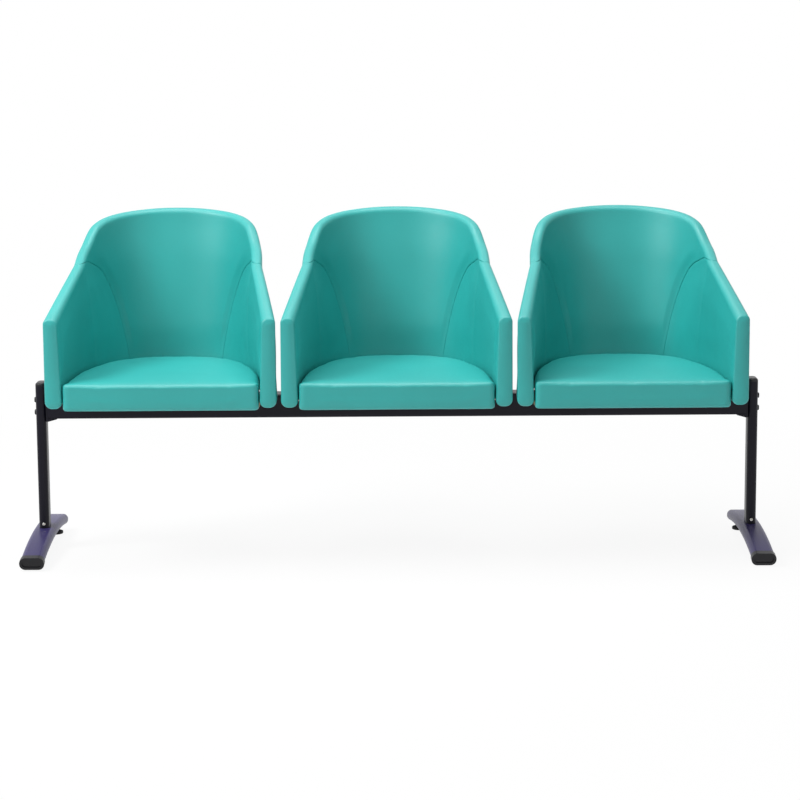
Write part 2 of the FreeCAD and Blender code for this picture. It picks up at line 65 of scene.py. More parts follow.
class Side(Enum):
    """The two sides of the row or of a chair; the value is the sign of X."""

    LEFT = -1
    RIGHT = 1

    @property
    def word(self) -> str:
        """The side's name as the nodes spell it."""
        return self.name.lower()


class End(Enum):
    """The two ends of a foot, by their word in the nodes' names."""

    FRONT = "front"
    REAR = "rear"


class Slot(Enum):
    """Material slots of the record."""

    LEATHERETTE = "turquoise_leatherette"
    BLACK_ENAMEL = "black_enamel"
    FOOT_ENAMEL = "foot_enamel"
    PLASTIC = "black_plastic"
    RUBBER = "glide_rubber"
    ZINC = "zinc_steel"
    PLYWOOD = "plywood"
    DUST_CLOTH = "dust_cloth"


# Mesh making


def grid_quads(rows: int, columns: int, closed: bool) -> NDArray[np.int64]:
    """Corner numbers of the quads between neighbouring points of a grid.

    Args:
        rows: number of rows of points.
        columns: number of points in each row.
        closed: whether the last column joins the first one.

    Returns:
        One row of four point numbers for each quad.
    """
    wide = columns if closed else columns - 1
    row, column = np.meshgrid(np.arange(rows - 1), np.arange(wide), indexing="ij")
    after = (column + 1) % columns
    corners = [row * columns + column, row * columns + after, (row + 1) * columns + after,
               (row + 1) * columns + column]
    return np.stack(corners, axis=-1).reshape(-1, 4)


def mesh_object(name: str, points: Array, quads: NDArray[np.int64]) -> bpy.types.Object:
    """Put points and quads into a new object, weld its seams and poles, and turn its faces outwards.

    Args:
        name: the new object's name.
        points: one row of X, Y and Z for each point.
        quads: one row of four point numbers for each face.

    Returns:
        The new object, at the origin, in the scene.
    """
    mesh = bpy.data.meshes.new(name)
    mesh.vertices.add(len(points))
    mesh.vertices.foreach_set("co", points.astype(np.float32).ravel())
    mesh.loops.add(quads.size)
    mesh.loops.foreach_set("vertex_index", quads.astype(np.int32).ravel())
    mesh.polygons.add(len(quads))
    mesh.polygons.foreach_set("loop_start", np.arange(0, quads.size, 4, dtype=np.int32))
    mesh.update(calc_edges=True)
    mesh.validate()
    work = bmesh.new()
    work.from_mesh(mesh)
    bmesh.ops.remove_doubles(work, verts=work.verts, dist=2e-6)
    bmesh.ops.recalc_face_normals(work, faces=work.faces)
    work.to_mesh(mesh)
    work.free()
    mesh.polygons.foreach_set("use_smooth", np.ones(len(mesh.polygons), dtype=bool))
    piece = bpy.data.objects.new(name, mesh)
    bpy.context.scene.collection.objects.link(piece)
    return piece


def surface(name: str, grids: list[Array], closed: bool = True) -> bpy.types.Object:
    """One object from grids of points, each of shape (rows, columns, 3).

    Args:
        name: the new object's name.
        grids: the grids of points.
        closed: whether each grid's last column joins its first one.

    Returns:
        The new object.
    """
    points, quads, start = [], [], 0
    for grid in grids:
        rows, columns = grid.shape[:2]
        points.append(grid.reshape(-1, 3))
        quads.append(grid_quads(rows, columns, closed) + start)
        start += rows * columns
    return mesh_object(name, np.concatenate(points), np.concatenate(quads))


def place(piece: bpy.types.Object, slot: Slot, material: Material, node: str,
          body: str = FRAME_BODY) -> None:
    """Dress a finished piece and let it ride on its body in place of a CAD node.

    Args:
        piece: the finished piece.
        slot: the record's slot of its finish; not used.
        material: its material.
        node: the CAD node that it stands for.
        body: the body that it rides on.
    """
    piece.data.materials.clear()
    piece.data.materials.append(material)
    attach(piece, body)
    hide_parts(node)
    LOG.info("%s: %d faces", piece.name, len(piece.data.polygons))


def smooth_step(value: Array, low: float, high: float) -> Array:
    """0 below low, 1 above high, and 3t^2 - 2t^3 of the share t between them."""
    share = np.clip((value - low) / (high - low), 0.0, 1.0)
    return share * share * (3.0 - 2.0 * share)


def rounding(radius: float, count: int) -> tuple[Array, Array]:
    """Quarter circle that rounds an edge over.

    Its angle a runs from 0 to a right angle: the way in from the end is r(1 - cos a), and the
    way down from the face is r(1 - sin a).

    Args:
        radius: radius of the rounding.
        count: number of points.

    Returns:
        Way in from the end and way down from the face, from the end inwards.
    """
    angle = np.linspace(0.0, math.pi / 2, count)
    return radius * (1 - np.cos(angle)), radius * (1 - np.sin(angle))


# Shader node groups


class GraphBuilder:
    """Short words for making nodes and links in one node tree."""

    FIRST_COLOUR, SECOND_COLOUR, MIXED_COLOUR = 6, 7, 2

    def __init__(self, tree: bpy.types.NodeTree) -> None:
        """Keep the tree that nodes are added to."""
        self.tree = tree

    def feed(self, socket: Socket, value: object) -> None:
        """Link an output to an input socket, or set the input's own value."""
        if isinstance(value, Socket):
            self.tree.links.new(value, socket)
        else:
            socket.default_value = value

    def add(self, kind: str, inputs: Inputs | None = None, **settings: object) -> bpy.types.Node:
        """Add a node of a kind, set its own settings, and feed its inputs by their names or numbers."""
        node = self.tree.nodes.new(f"ShaderNode{kind}")
        for name, value in settings.items():
            setattr(node, name, value)
        for label, value in (inputs or {}).items():
            self.feed(node.inputs[label], value)
        return node

    def math(self, operation: str, first: object, second: object = 0.0) -> Socket:
        """Result of one Math node."""
        return self.add("Math", {0: first, 1: second}, operation=operation).outputs[0]

    def product(self, value: object, *factors: object) -> Socket:
        """A value times every factor."""
        for factor in factors:
            value = self.math("MULTIPLY", value, factor)
        return value

    def noise(self, where: object, scale: object, detail: float = 3.0, rough: float = 0.55) -> Socket:
        """Noise value between 0 and 1 at a place, with a scale per metre."""
        inputs = {"Vector": where, "Scale": scale, "Detail": detail, "Roughness": rough}
        return self.add("TexNoise", inputs).outputs["Fac"]

    def remap(self, value: object, from_low: float, from_high: float, to_low: float = 0.0,
              to_high: float = 1.0) -> Socket:
        """Value carried from one range to another and held inside it."""
        inputs = dict(enumerate((value, from_low, from_high, to_low, to_high)))
        return self.add("MapRange", inputs, clamp=True).outputs[0]

    def blend(self, share: object, first: object, second: object) -> Socket:
        """Colour between two colours."""
        inputs = {0: share, self.FIRST_COLOUR: first, self.SECOND_COLOUR: second}
        return self.add("Mix", inputs, data_type="RGBA").outputs[self.MIXED_COLOUR]

    def stretched(self, where: object, scale: Place) -> Socket:
        """The place scaled along each axis, for patterns with a direction."""
        return self.add("Mapping", {"Vector": where, "Scale": scale}).outputs[0]

    def parted(self, vector: object) -> bpy.types.bpy_prop_collection:
        """X, Y and Z of a vector."""
        return self.add("SeparateXYZ", {0: vector}).outputs

    def facing_up(self) -> Socket:
        """Z of the surface's unit normal."""
        return self.parted(self.add("NewGeometry").outputs["Normal"])["Z"]

    def seen_directly(self) -> Socket:
        """1 for camera, glossy and transmission rays, and 0 for the others."""
        path = self.add("LightPath").outputs
        seen = self.math("MAXIMUM", path["Is Camera Ray"], path["Is Glossy Ray"])
        return self.math("MAXIMUM", seen, path["Is Transmission Ray"])


class EffectGroup(GraphBuilder):
    """A shader node group with named inputs and outputs, built once and shared by materials."""

    def __init__(self, name: str, values: dict[str, float]) -> None:
        """Make the group's tree, its place input Where, and an input for each named value."""
        super().__init__(bpy.data.node_groups.new(name, "ShaderNodeTree"))
        self.socket("Where", "INPUT", "NodeSocketVector")
        for label, value in values.items():
            self.socket(label, "INPUT").default_value = value
        self.given = self.tree.nodes.new("NodeGroupInput").outputs
        self.where = self.given["Where"]

    def socket(self, label: str, way: str,
               kind: str = "NodeSocketFloat") -> bpy.types.NodeTreeInterfaceSocket:
        """Add one socket to the group's interface."""
        return self.tree.interface.new_socket(label, in_out=way, socket_type=kind)

    def finish(self, **results: Socket) -> bpy.types.NodeTree:
        """Give the group its named outputs, and return its tree."""
        for label in results:
            self.socket(label, "OUTPUT")
        sink = self.tree.nodes.new("NodeGroupOutput")
        for label, value in results.items():
            self.feed(sink.inputs[label], value)
        return self.tree


def hide_grain_group() -> bpy.types.NodeTree:
    """Leatherette grain: flat pebbles with creases between them, over a slow unevenness.

    The creases are the narrow band near the borders of Voronoi cells whose places are pushed about
    by noise; the height is the pebbles' dome plus a share of the slow noise.
    """
    group = EffectGroup("hide_grain", {"Pebbles per metre": 700.0, "Slow waves per metre": 14.0})
    push = (0.0016, 0.0016, 0.0016)
    pushed = group.add("VectorMath", {0: group.noise(group.where, 240.0, 2.0), 1: push, 2: group.where},
                       operation="MULTIPLY_ADD").outputs[0]
    border = group.add("TexVoronoi", {"Vector": pushed, "Scale": group.given["Pebbles per metre"]},
                       feature="DISTANCE_TO_EDGE").outputs["Distance"]
    dome = group.product(group.remap(border, 0.0, 0.32), 0.5)
    slow = group.product(group.noise(group.where, group.given["Slow waves per metre"], 2.0), 1.6)
    return group.finish(Height=group.math("ADD", dome, slow), Crease=group.remap(border, 0.0, 0.09, 1.0, 0.0),
                        Shade=group.noise(group.where, 5.0))


def enamel_skin_group() -> bpy.types.NodeTree:
    """Powder enamel: fine orange peel, fine scuffs along X, and a little dust where faces look up."""
    group = EffectGroup("enamel_skin", {"Peel per metre": 420.0, "Scuffs": 0.3, "Dust": 0.2})
    streaks = group.noise(group.stretched(group.where, (18.0, 60.0, 60.0)), 7.0, 5.0, 0.7)
    specks = group.remap(group.noise(group.where, 160.0, 5.0, 0.7), 0.4, 0.75)
    facing = group.remap(group.facing_up(), 0.35, 1.0)
    return group.finish(Height=group.noise(group.where, group.given["Peel per metre"], 2.0),
                        Scuff=group.product(group.remap(streaks, 0.56, 0.74), group.given["Scuffs"]),
                        Dust=group.product(facing, specks, group.given["Dust"]))


def metal_grain_group() -> bpy.types.NodeTree:
    """Plated steel: cloudy plating and short turning marks round the fastener's axis."""
    group = EffectGroup("metal_grain", {"Clouds per metre": 90.0})
    return group.finish(Cloud=group.noise(group.where, group.given["Clouds per metre"], 4.0, 0.6),
                        Height=group.noise(group.stretched(group.where, (1.0, 1.0, 6.0)), 900.0, 2.0))


def wood_figure_group() -> bpy.types.NodeTree:
    """Birch plywood: long fibres along X with slow figure, and plies that show as bands in height."""
    group = EffectGroup("wood_figure", {"Plies per metre": 667.0})
    turn = group.product(group.parted(group.where)["Z"], group.given["Plies per metre"], math.pi)
    return group.finish(Figure=group.noise(group.stretched(group.where, (1.0, 9.0, 9.0)), 6.0, 4.0, 0.6),
                        Fibre=group.noise(group.stretched(group.where, (4.0, 90.0, 90.0)), 14.0, 3.0, 0.6),
                        Ply=group.math("ABSOLUTE", group.math("SINE", turn)))


def weave_group() -> bpy.types.NodeTree:
    """Plain weave in the X-Y plane: two sets of threads whose crossings go over and under."""
    group = EffectGroup("plain_weave", {"Threads per metre": 900.0})
    axes = group.parted(group.where)
    warp, weft = (group.math("SINE", group.product(axes[axis], group.given["Threads per metre"], math.pi))
                  for axis in "XY")
    return group.finish(Height=group.math("ABSOLUTE", group.product(warp, weft)),
                        Fuzz=group.noise(group.where, 500.0, 4.0, 0.7))


EFFECTS = {group.name: group for group in (
    hide_grain_group(), enamel_skin_group(), metal_grain_group(), wood_figure_group(), weave_group())}


class MaterialGraph(GraphBuilder):
    """One material: its Principled shader and the outputs of its effect."""

    def __init__(self, name: str, effect: str, constants: dict[str, float], **values: float) -> None:
        """Make the material.

        Args:
            name: the material's name.
            effect: name of the shared effect that it uses.
            constants: values on the shader's own sockets, by the socket's name.
            values: values of the effect's inputs; underscores join the words of a label.
        """
        self.material = bpy.data.materials.new(name)
        self.material.use_nodes = True
        super().__init__(self.material.node_tree)
        self.shader = self.tree.nodes["Principled BSDF"]
        for label, value in constants.items():
            self.shader.inputs[label].default_value = value
        inputs = {label.replace("_", " "): value for label, value in values.items()}
        inputs["Where"] = self.add("TexCoord").outputs["Object"]
        self.effect = self.add("Group", inputs, node_tree=EFFECTS[effect]).outputs

    def finish(self, inputs: Inputs, height: Socket, depth: float) -> Material:
        """Feed the shader's inputs, and its normal from a height in metres, and return the material."""
        bump = self.add("Bump", {"Height": height, "Strength": 1.0, "Distance": depth})
        for label, value in {**inputs, "Normal": bump.outputs["Normal"]}.items():
            self.feed(self.shader.inputs[label], value)
        return self.material


def tinted(colour: Colour, factor: float = 1.0) -> tuple[float, float, float, float]:
    """Colour with its alpha, made darker or lighter by a factor."""
    return (colour[0] * factor, colour[1] * factor, colour[2] * factor, 1.0)


@dataclass(frozen=True)
class Leatherette:
    """Coated upholstery cloth with a fine pebble grain and a satin sheen."""

    colour: Colour = (0.020, 0.395, 0.375)
    roughness: float = 0.42
    grain_depth: float = 0.00022

    def make(self) -> Material:
        """Make the material: painted shade in the grain's creases, slow random tone changes, satin roughness and
        grain bump.
        """
        graph = MaterialGraph("leatherette", "hide_grain",
                              {"Specular IOR Level": 0.60, "Coat Roughness": 0.40, "Coat Weight": 0.14})
        grain = graph.effect
        base = graph.blend(graph.remap(grain["Shade"], 0.3, 0.7), tinted(self.colour, 0.95),
                           tinted(self.colour, 1.05))
        # Painted shade: the colour is darkened to six tenths of itself in the grain's creases, standing in for
        # shade in the valleys.
        painted_crease_shade = graph.blend(graph.product(grain["Crease"], 0.35), base, tinted(self.colour, 0.6))
        rough = graph.remap(grain["Crease"], 0.0, 1.0, self.roughness, self.roughness + 0.18)
        return graph.finish({"Base Color": painted_crease_shade, "Roughness": rough}, grain["Height"], self.grain_depth)


@dataclass(frozen=True)
class Enamel:
    """Enamelled steel tube."""

    name: str
    colour: Colour
    roughness: float
    wear: float
    specular: float
    worn_roughness: float = 0.75
    dust: Colour = (0.20, 0.19, 0.18)
    peel_depth: float = 0.00003

    def make(self) -> Material:
        """Make the material: scuffed roughness, dust on upward faces and orange peel."""
        graph = MaterialGraph(self.name, "enamel_skin", {"Specular IOR Level": self.specular},
                              Dust=self.wear, Scuffs=self.wear)
        skin = graph.effect
        scuffed = graph.blend(skin["Scuff"], tinted(self.colour), tinted(self.colour, 1.6))
        dusty = graph.blend(skin["Dust"], scuffed, tinted(self.dust))
        wear = graph.math("ADD", skin["Scuff"], skin["Dust"])
        rough = graph.remap(wear, 0.0, 1.0, self.roughness, self.worn_roughness)
        return graph.finish({"Base Color": dusty, "Roughness": rough}, skin["Height"], self.peel_depth)


@dataclass(frozen=True)
class Moulding:
    """Moulded plastic or rubber with a fine spark-eroded texture."""

    name: str
    colour: Colour
    roughness: float
    texture_depth: float
    dust: Colour = (0.22, 0.21, 0.20)

    def make(self) -> Material:
        """Make the material: fine noise bump, mottled roughness and a little dust."""
        graph = MaterialGraph(self.name, "enamel_skin", {"Specular IOR Level": 0.35},
                              Peel_per_metre=1400.0, Scuffs=0.15, Dust=0.03)
        skin = graph.effect
        worn = graph.blend(skin["Scuff"], tinted(self.colour), tinted(self.colour, 1.8))
        dusty = graph.blend(skin["Dust"], worn, tinted(self.dust))
        rough = graph.remap(skin["Height"], 0.3, 0.7, self.roughness - 0.06, self.roughness + 0.08)
        return graph.finish({"Base Color": dusty, "Roughness": rough}, skin["Height"], self.texture_depth)


@dataclass(frozen=True)
class ZincSteel:
    """Zinc plating on steel fasteners."""

    name: str
    colour: Colour = (0.62, 0.62, 0.60)
    cast: Colour = (0.56, 0.54, 0.46)
    roughness: float = 0.32
    mark_depth: float = 0.00002

    def make(self) -> Material:
        """Make the material: cloudy plating with a cast in places and turning marks."""
        graph = MaterialGraph(self.name, "metal_grain", {"Metallic": 1.0})
        cloud = graph.effect["Cloud"]
        plated = graph.blend(graph.remap(cloud, 0.35, 0.7), tinted(self.colour), tinted(self.cast))
        rough = graph.remap(cloud, 0.3, 0.7, self.roughness - 0.08, self.roughness + 0.14)
        return graph.finish({"Base Color": plated, "Roughness": rough}, graph.effect["Height"],
                            self.mark_depth)


@dataclass(frozen=True)
class Plywood:
    """Birch plywood with a clear face and banded edges."""

    face: Colour = (0.52, 0.36, 0.20)
    fibre_depth: float = 0.00008

    def make(self) -> Material:
        """Make the material: figure and fibres on the faces, and dark glue lines on upright edges."""
        graph = MaterialGraph("birch_plywood", "wood_figure", {"Specular IOR Level": 0.35})
        fibre = graph.effect["Fibre"]
        board = graph.blend(graph.remap(graph.effect["Figure"], 0.35, 0.65), tinted(self.face),
                            tinted(self.face, 0.72))
        board = graph.blend(graph.remap(fibre, 0.5, 0.8, 0.0, 0.5), board, tinted(self.face, 0.5))
        upright = graph.remap(graph.math("ABSOLUTE", graph.facing_up()), 0.4, 0.7, 1.0, 0.0)
        glue = graph.product(graph.remap(graph.effect["Ply"], 0.0, 0.35, 0.7, 0.0), upright)
        return graph.finish({"Base Color": graph.blend(glue, board, tinted(self.face, 0.3)),
                             "Roughness": graph.remap(fibre, 0.3, 0.8, 0.5, 0.7)}, fibre, self.fibre_depth)


@dataclass(frozen=True)
class DustCloth:
    """Black lining cloth under a seat."""

    colour: Colour = (0.014, 0.014, 0.015)
    fuzz: Colour = (0.06, 0.06, 0.065)
    weave_depth: float = 0.0002

    def make(self) -> Material:
        """Make the material: woven relief, pale fuzz and a matt surface."""
        graph = MaterialGraph("lining_cloth", "plain_weave", {"Roughness": 0.92, "Sheen Weight": 0.3})
        fuzzy = graph.blend(graph.remap(graph.effect["Fuzz"], 0.5, 0.8, 0.0, 0.5), tinted(self.colour),
                            tinted(self.fuzz))
        return graph.finish({"Base Color": fuzzy}, graph.effect["Height"], self.weave_depth)


FINISHES = {
    Slot.LEATHERETTE: Leatherette(),
    Slot.BLACK_ENAMEL: Enamel("black_enamel", (0.0032, 0.0027, 0.0085), 0.34, 0.03, 0.20),
    Slot.FOOT_ENAMEL: Enamel("violet_enamel", (0.040, 0.032, 0.120), 0.36, 0.02, 0.22),
    Slot.PLASTIC: Moulding("black_plastic", (0.0045, 0.0042, 0.0065), 0.36, 0.00003),
    Slot.RUBBER: Moulding("glide_rubber", (0.020, 0.020, 0.021), 0.68, 0.00008),
    Slot.ZINC: ZincSteel("bright_zinc"),
    Slot.PLYWOOD: Plywood(),
    Slot.DUST_CLOTH: DustCloth(),
}
BLACK_ZINC = ZincSteel("black_zinc", (0.045, 0.045, 0.050), (0.030, 0.032, 0.030), 0.42)


# Upholstered tub


@dataclass(frozen=True)
class TubSizes:
    """Sizes of one tub about its own middle; the main ones are read from the frame's right arm and back."""

    half_width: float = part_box("chair_2_right_arm")[1].x
    bottom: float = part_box("chair_2_right_arm")[0].z
    front_y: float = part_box("chair_2_right_arm")[0].y
    rear_y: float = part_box("chair_2_back")[1].y
    arm_height: float = 0.220
    seam_height: float = 0.328
    wall: float = 0.042
    arm_top: float = 0.034
    rim: float = 0.028
    seam_foot_y: float = 0.070
    seam_head_y: float = -0.020
    seam_head_half_width: float = 0.239
    back_foot_y: float = 0.236
    foot_squareness: float = 2.6
    rim_squareness: float = 2.5
    rise_turns: tuple[float, ...] = (0.0, 7.0, 15.0, 30.0, 45.0, 65.0, 90.0)
    rise_heights: tuple[float, ...] = (0.328, 0.348, 0.366, 0.411, 0.428, 0.438, 0.444)
    outer_head_share: float = 0.70
    inner_head_share: float = 0.95
    foot_radius: float = 0.017
    seam_reach: float = 0.76
    seam_bend: float = 0.6
    seam_fall: float = 0.6
    inner_pillow: float = 0.005
    outer_pillow: float = 0.002
    pillow_rise: tuple[float, float] = (0.060, 0.150)
    pillow_fall: tuple[float, float] = (0.02, 0.30)
    front_blend: float = 0.10
    seam_blend: float = 0.16
    back_blend: float = 0.12
    front_edge: float = 0.0055
    front_crown: float = 0.0018
    seam_edge: float = 0.0026
    seam_gap: float = 0.0004
    seam_low_share: float = 0.25
    seam_fade: tuple[float, float] = (0.35, 0.85)


def squared_ellipse(angle: Array, size: tuple[float, float], squareness: float) -> tuple[Array, Array, Array]:
    """Points and level normals of a quarter of a squared ellipse.

    Args:
        angle: from 0 on the X axis to a right angle on the Y axis.
        size: the half axes along X and Y.
        squareness: 2 is an ellipse, and more is squarer.

    Returns:
        Way along X, way along Y, and unit normals.
    """
    along, behind = np.cos(angle) ** (2 / squareness), np.sin(angle) ** (2 / squareness)
    normal = np.stack([along ** (squareness - 1) / size[0], behind ** (squareness - 1) / size[1],
                       np.zeros_like(along)], axis=-1)
    return size[0] * along, size[1] * behind, normal / np.linalg.norm(normal, axis=-1, keepdims=True)


@dataclass(frozen=True)
class Stations:
    """Sections of the tub's wall along its path; every array has one row for each row of points."""

    foot: Array
    head: Array
    across: Array
    half_foot: Array
    half_head: Array

    @property
    def length(self) -> Array:
        """Length of the section from its foot to its head."""
        return np.linalg.norm(self.head - self.foot, axis=-1)

    def half_at(self, up: Array) -> Array:
        """Half of the wall's thickness at a way up the section."""
        return self.half_foot + (self.half_head - self.half_foot) * up / self.length


class TubShape:
    """The wall of the tub as a surface: a path number s and a place round the wall's section.

    s is 0 at an arm's front, 1 where the arm meets the back and 2 in the back's middle.
    """

    EDGE, CORNER, SIDE = 4, 9, 46

    def __init__(self, sizes: TubSizes) -> None:
        """Keep the sizes."""
        self.sizes = sizes

    def rise(self, turn: Array) -> Array:
        """Height of the back over its foot at a turn in degrees: cubic pieces that never overshoot.

        A piece of length w from height a to b with slopes m and n is, at its share t,
        (1 + 2t)(1 - t)^2 a + t(1 - t)^2 w m + t^2(3 - 2t) b + t^2(t - 1) w n. An inner slope is the
        harmonic mean of its two pieces' slopes.
        """
        turns, heights = np.array(self.sizes.rise_turns), np.array(self.sizes.rise_heights)
        steps, slopes = np.diff(turns), np.diff(heights) / np.diff(turns)
        inner = 2 * slopes[:-1] * slopes[1:] / (slopes[:-1] + slopes[1:])
        tangent = np.concatenate([slopes[:1], inner, [0.0]])
        index = np.clip(np.searchsorted(turns, turn) - 1, 0, len(steps) - 1)
        t = (turn - turns[index]) / steps[index]
        start = (1 + 2 * t) * (1 - t) ** 2 * heights[index] + t * (1 - t) ** 2 * steps[index] * tangent[index]
        return (start + t * t * (3 - 2 * t) * heights[index + 1]
                + t * t * (t - 1) * steps[index] * tangent[index + 1])

    def stations(self, s: Array) -> Stations:
        """Sections at path numbers s, on the right side.

        The foot runs along one squared ellipse, x = a cos(t)^(2/n) and y = b sin(t)^(2/n), from the
        arm's front to the back's middle. The head runs straight along the arm and along a second
        squared ellipse behind it. The wall stands square to the mean of both lines.

        Args:
            s: path numbers from 0 to 2, of any shape.

        Returns:
            The sections, with s's shape plus one axis for their points.
        """
        z = self.sizes
        share = np.clip(s, 0.0, 1.0)
        past = np.clip(s - 1.0, 0.0, 1.0)
        even = past ** 1.25 / (past ** 1.25 + (1 - past) ** 1.25)
        on_arm = s <= 1.0
        top = z.arm_top + (z.rim - z.arm_top) * share
        foot_size = (z.half_width - z.wall / 2, z.back_foot_y - z.wall / 2 - z.front_y)
        seam_share = (z.seam_foot_y - z.front_y) / foot_size[1]
        seam_angle = math.asin(seam_share ** (z.foot_squareness / 2))
        foot_angle = np.where(on_arm, np.arcsin((seam_share * share) ** (z.foot_squareness / 2)),
                              seam_angle + (math.pi / 2 - seam_angle) * even)
        foot_x, foot_behind, foot_normal = squared_ellipse(foot_angle, foot_size, z.foot_squareness)
        rim_size = (z.seam_head_half_width - z.rim / 2, z.rear_y - z.rim / 2 - z.seam_head_y)
        rim_x, rim_behind, rim_normal = squared_ellipse(even * math.pi / 2, rim_size, z.rim_squareness)
        outer_head = z.half_width + (z.seam_head_half_width - z.half_width) * share
        head_x = np.where(on_arm, outer_head - top / 2, rim_x)
        head_y = np.where(on_arm, z.front_y + (z.seam_head_y - z.front_y) * share, z.seam_head_y + rim_behind)
        height = np.where(on_arm, z.arm_height + (z.seam_height - z.arm_height) * share,
                          self.rise(np.degrees(even * math.pi / 2)))
        across = foot_normal + rim_normal
        across /= np.linalg.norm(across, axis=-1, keepdims=True)
        foot = np.stack([foot_x, z.front_y + foot_behind, np.full_like(s, z.bottom)], axis=-1)
        head = np.stack([head_x, head_y, z.bottom + height], axis=-1)
        return Stations(foot, head, across, np.full_like(s, z.wall / 2), np.broadcast_to(top / 2, s.shape))

    def half_loop(self, stations: Stations, head_share: float) -> tuple[Array, Array, Array, Array]:
        """Half of the wall's section, from the middle of its foot round one face to the middle of its head.

        Args:
            stations: the sections.
            head_share: rounding between this face and the head, as a share of half of the head's width.

        Returns:
            Way across, way up, and the outward normal's two parts, each (rows, points of the half).
        """
        foot_radius, length = self.sizes.foot_radius, stations.length
        edge, corner, side = (np.linspace(0, 1, count, endpoint=False)
                              for count in (self.EDGE, self.CORNER, self.SIDE))
        blank = np.zeros_like(length)
        head_radius = head_share * stations.half_head
        foot_angle, head_angle = (corner - 1) * math.pi / 2, corner * math.pi / 2
        face_up = foot_radius + (length - head_radius - foot_radius) * side
        head_across = stations.half_at(length - head_radius) - head_radius
        last_edge = np.linspace(1, 0, self.EDGE + 1)
        across = np.concatenate([
            blank + (stations.half_foot - foot_radius) * edge,
            stations.half_at(blank + foot_radius) - foot_radius + foot_radius * np.cos(foot_angle),
            stations.half_at(face_up),
            head_across + head_radius * np.cos(head_angle),
            head_across * last_edge], axis=-1)
        up = np.concatenate([
            blank + 0 * edge,
            blank + foot_radius + foot_radius * np.sin(foot_angle),
            face_up,
            length - head_radius + head_radius * np.sin(head_angle),
            length + 0 * last_edge], axis=-1)
        flat = np.concatenate([0 * edge, np.cos(foot_angle), 1 + 0 * side, np.cos(head_angle), 0 * last_edge])
        tall = np.concatenate([0 * edge - 1, np.sin(foot_angle), 0 * side, np.sin(head_angle),
                               1 + 0 * last_edge])
        return across, up, flat + 0 * up, tall + 0 * up

    def loop_places(self) -> tuple[Array, Array]:
        """Side, from -1 inside to 1 outside, and share of height of each point round the seam's section."""
        here = self.stations(np.array([[1.0]]))
        across, up, _, _ = self.half_loop(here, self.sizes.outer_head_share)
        face, height = across / here.half_at(up), up / here.length
        loop_face = np.concatenate([face, -face[:, -2:0:-1]], axis=-1)[0]
        loop_height = np.concatenate([height, height[:, -2:0:-1]], axis=-1)[0]
        return loop_face, loop_height

    def seam(self) -> Array:
        """Path number of the sewn seam at each point round the section.

        Outside and on the rim it stands at 1. Inside it runs back and down from the notch in the
        rim: 1 + reach d^bend, where the drop d = fall tanh((1 - h) / fall) at a share of height h
        levels off, so that the seam's lower end stands upright.
        """
        z = self.sizes
        face, height = self.loop_places()
        inward = np.clip((1 - face) / 2, 0, 1)
        drop = z.seam_fall * np.tanh((1 - np.clip(height, 0, 1)) / z.seam_fall)
        return 1 + z.seam_reach * drop ** z.seam_bend * inward

    def points(self, s: Array, inset: Array, keep: Array, pillow: Array) -> Array:
        """Points of the wall's skin on the right side.

        Args:
            s: path numbers, (rows, points round the section).
            inset: way below the skin, (rows, points round the section).
            keep: 1 on the skin, falling to 0 on the section's middle line, of the same shape or one column.
            pillow: share of the pillow's swell, (rows, points round the section).

        Returns:
            Points, (rows, points round the section, 3).
        """
        z = self.sizes
        here = self.stations(s[..., None])
        half = self.SIDE + 2 * self.CORNER + 2 * self.EDGE + 1
        outer = self.half_loop(here, z.outer_head_share)
        inner = self.half_loop(here, z.inner_head_share)
        rows = np.arange(s.shape[0])[:, None]
        outside = (rows, np.arange(half)[None], np.arange(half))
        inside = (rows, np.arange(half, s.shape[1])[None], np.arange(half - 2, 0, -1))

        def joined(first: Array, second: Array) -> Array:
            """Values of the outer half and of the inner half, on one row for each section."""
            return np.concatenate([first[outside], second[inside]], axis=1)

        across, flat = (joined(outer[part], -inner[part]) for part in (0, 2))
        up, tall = (joined(outer[part], inner[part]) for part in (1, 3))
        mean_up = (outer[1] + inner[1]) / 2
        length = here.length[..., 0]
        middle = np.clip(joined(mean_up, mean_up), z.wall / 2, length - z.arm_top / 2)
        swell = smooth_step(up, *z.pillow_rise) * smooth_step(1 - up / length, *z.pillow_fall)
        swell = swell * np.where(flat < 0, z.inner_pillow, z.outer_pillow) * np.abs(flat) * pillow
        across = (across + (swell - inset) * flat) * keep
        up = middle + (up + (swell - inset) * tall - middle) * keep
        rise = (here.head - here.foot)[..., 0, :] / length[..., None]
        return here.foot[..., 0, :] + rise * up[..., None] + here.across[..., 0, :] * across[..., None]

    def groove(self) -> Array:
        """Rounding of a pad's edge at each point round the seam's section: it shrinks towards the seat."""
        z = self.sizes
        face, height = self.loop_places()
        low = 1 - (1 - z.seam_low_share) * (1 - smooth_step(height, *z.seam_fade))
        return z.seam_edge * np.where(face < 0, low, 1.0)

    def edge_rows(self, radius: Array, count: int, seam: Array, way: float) -> tuple[Array, Array]:
        """Path numbers and insets of the rows that round a pad's edge over at the seam.

        Args:
            radius: radius of the rounding at each point round the section.
            count: number of rows.
            seam: path number of the seam at each point round the section.
            way: -1 where the pad lies before the seam and 1 where it lies behind it.

        Returns:
            Path numbers and insets, both (count, points round the section), from the seam inwards.
        """
        step, slowest = 0.01, 0.12
        blank = np.zeros((1, 1))
        near = self.points(seam[None], blank, blank + 1, blank)
        beyond = self.points(np.clip(seam[None] + step * way, 0, 2), blank, blank + 1, blank)
        speed = np.maximum(np.linalg.norm(beyond - near, axis=-1) / step, slowest)
        inward, down = rounding(1.0, count)
        run = inward[:, None] * radius + self.sizes.seam_gap
        return seam[None] + way * run / speed, down[:, None] * radius


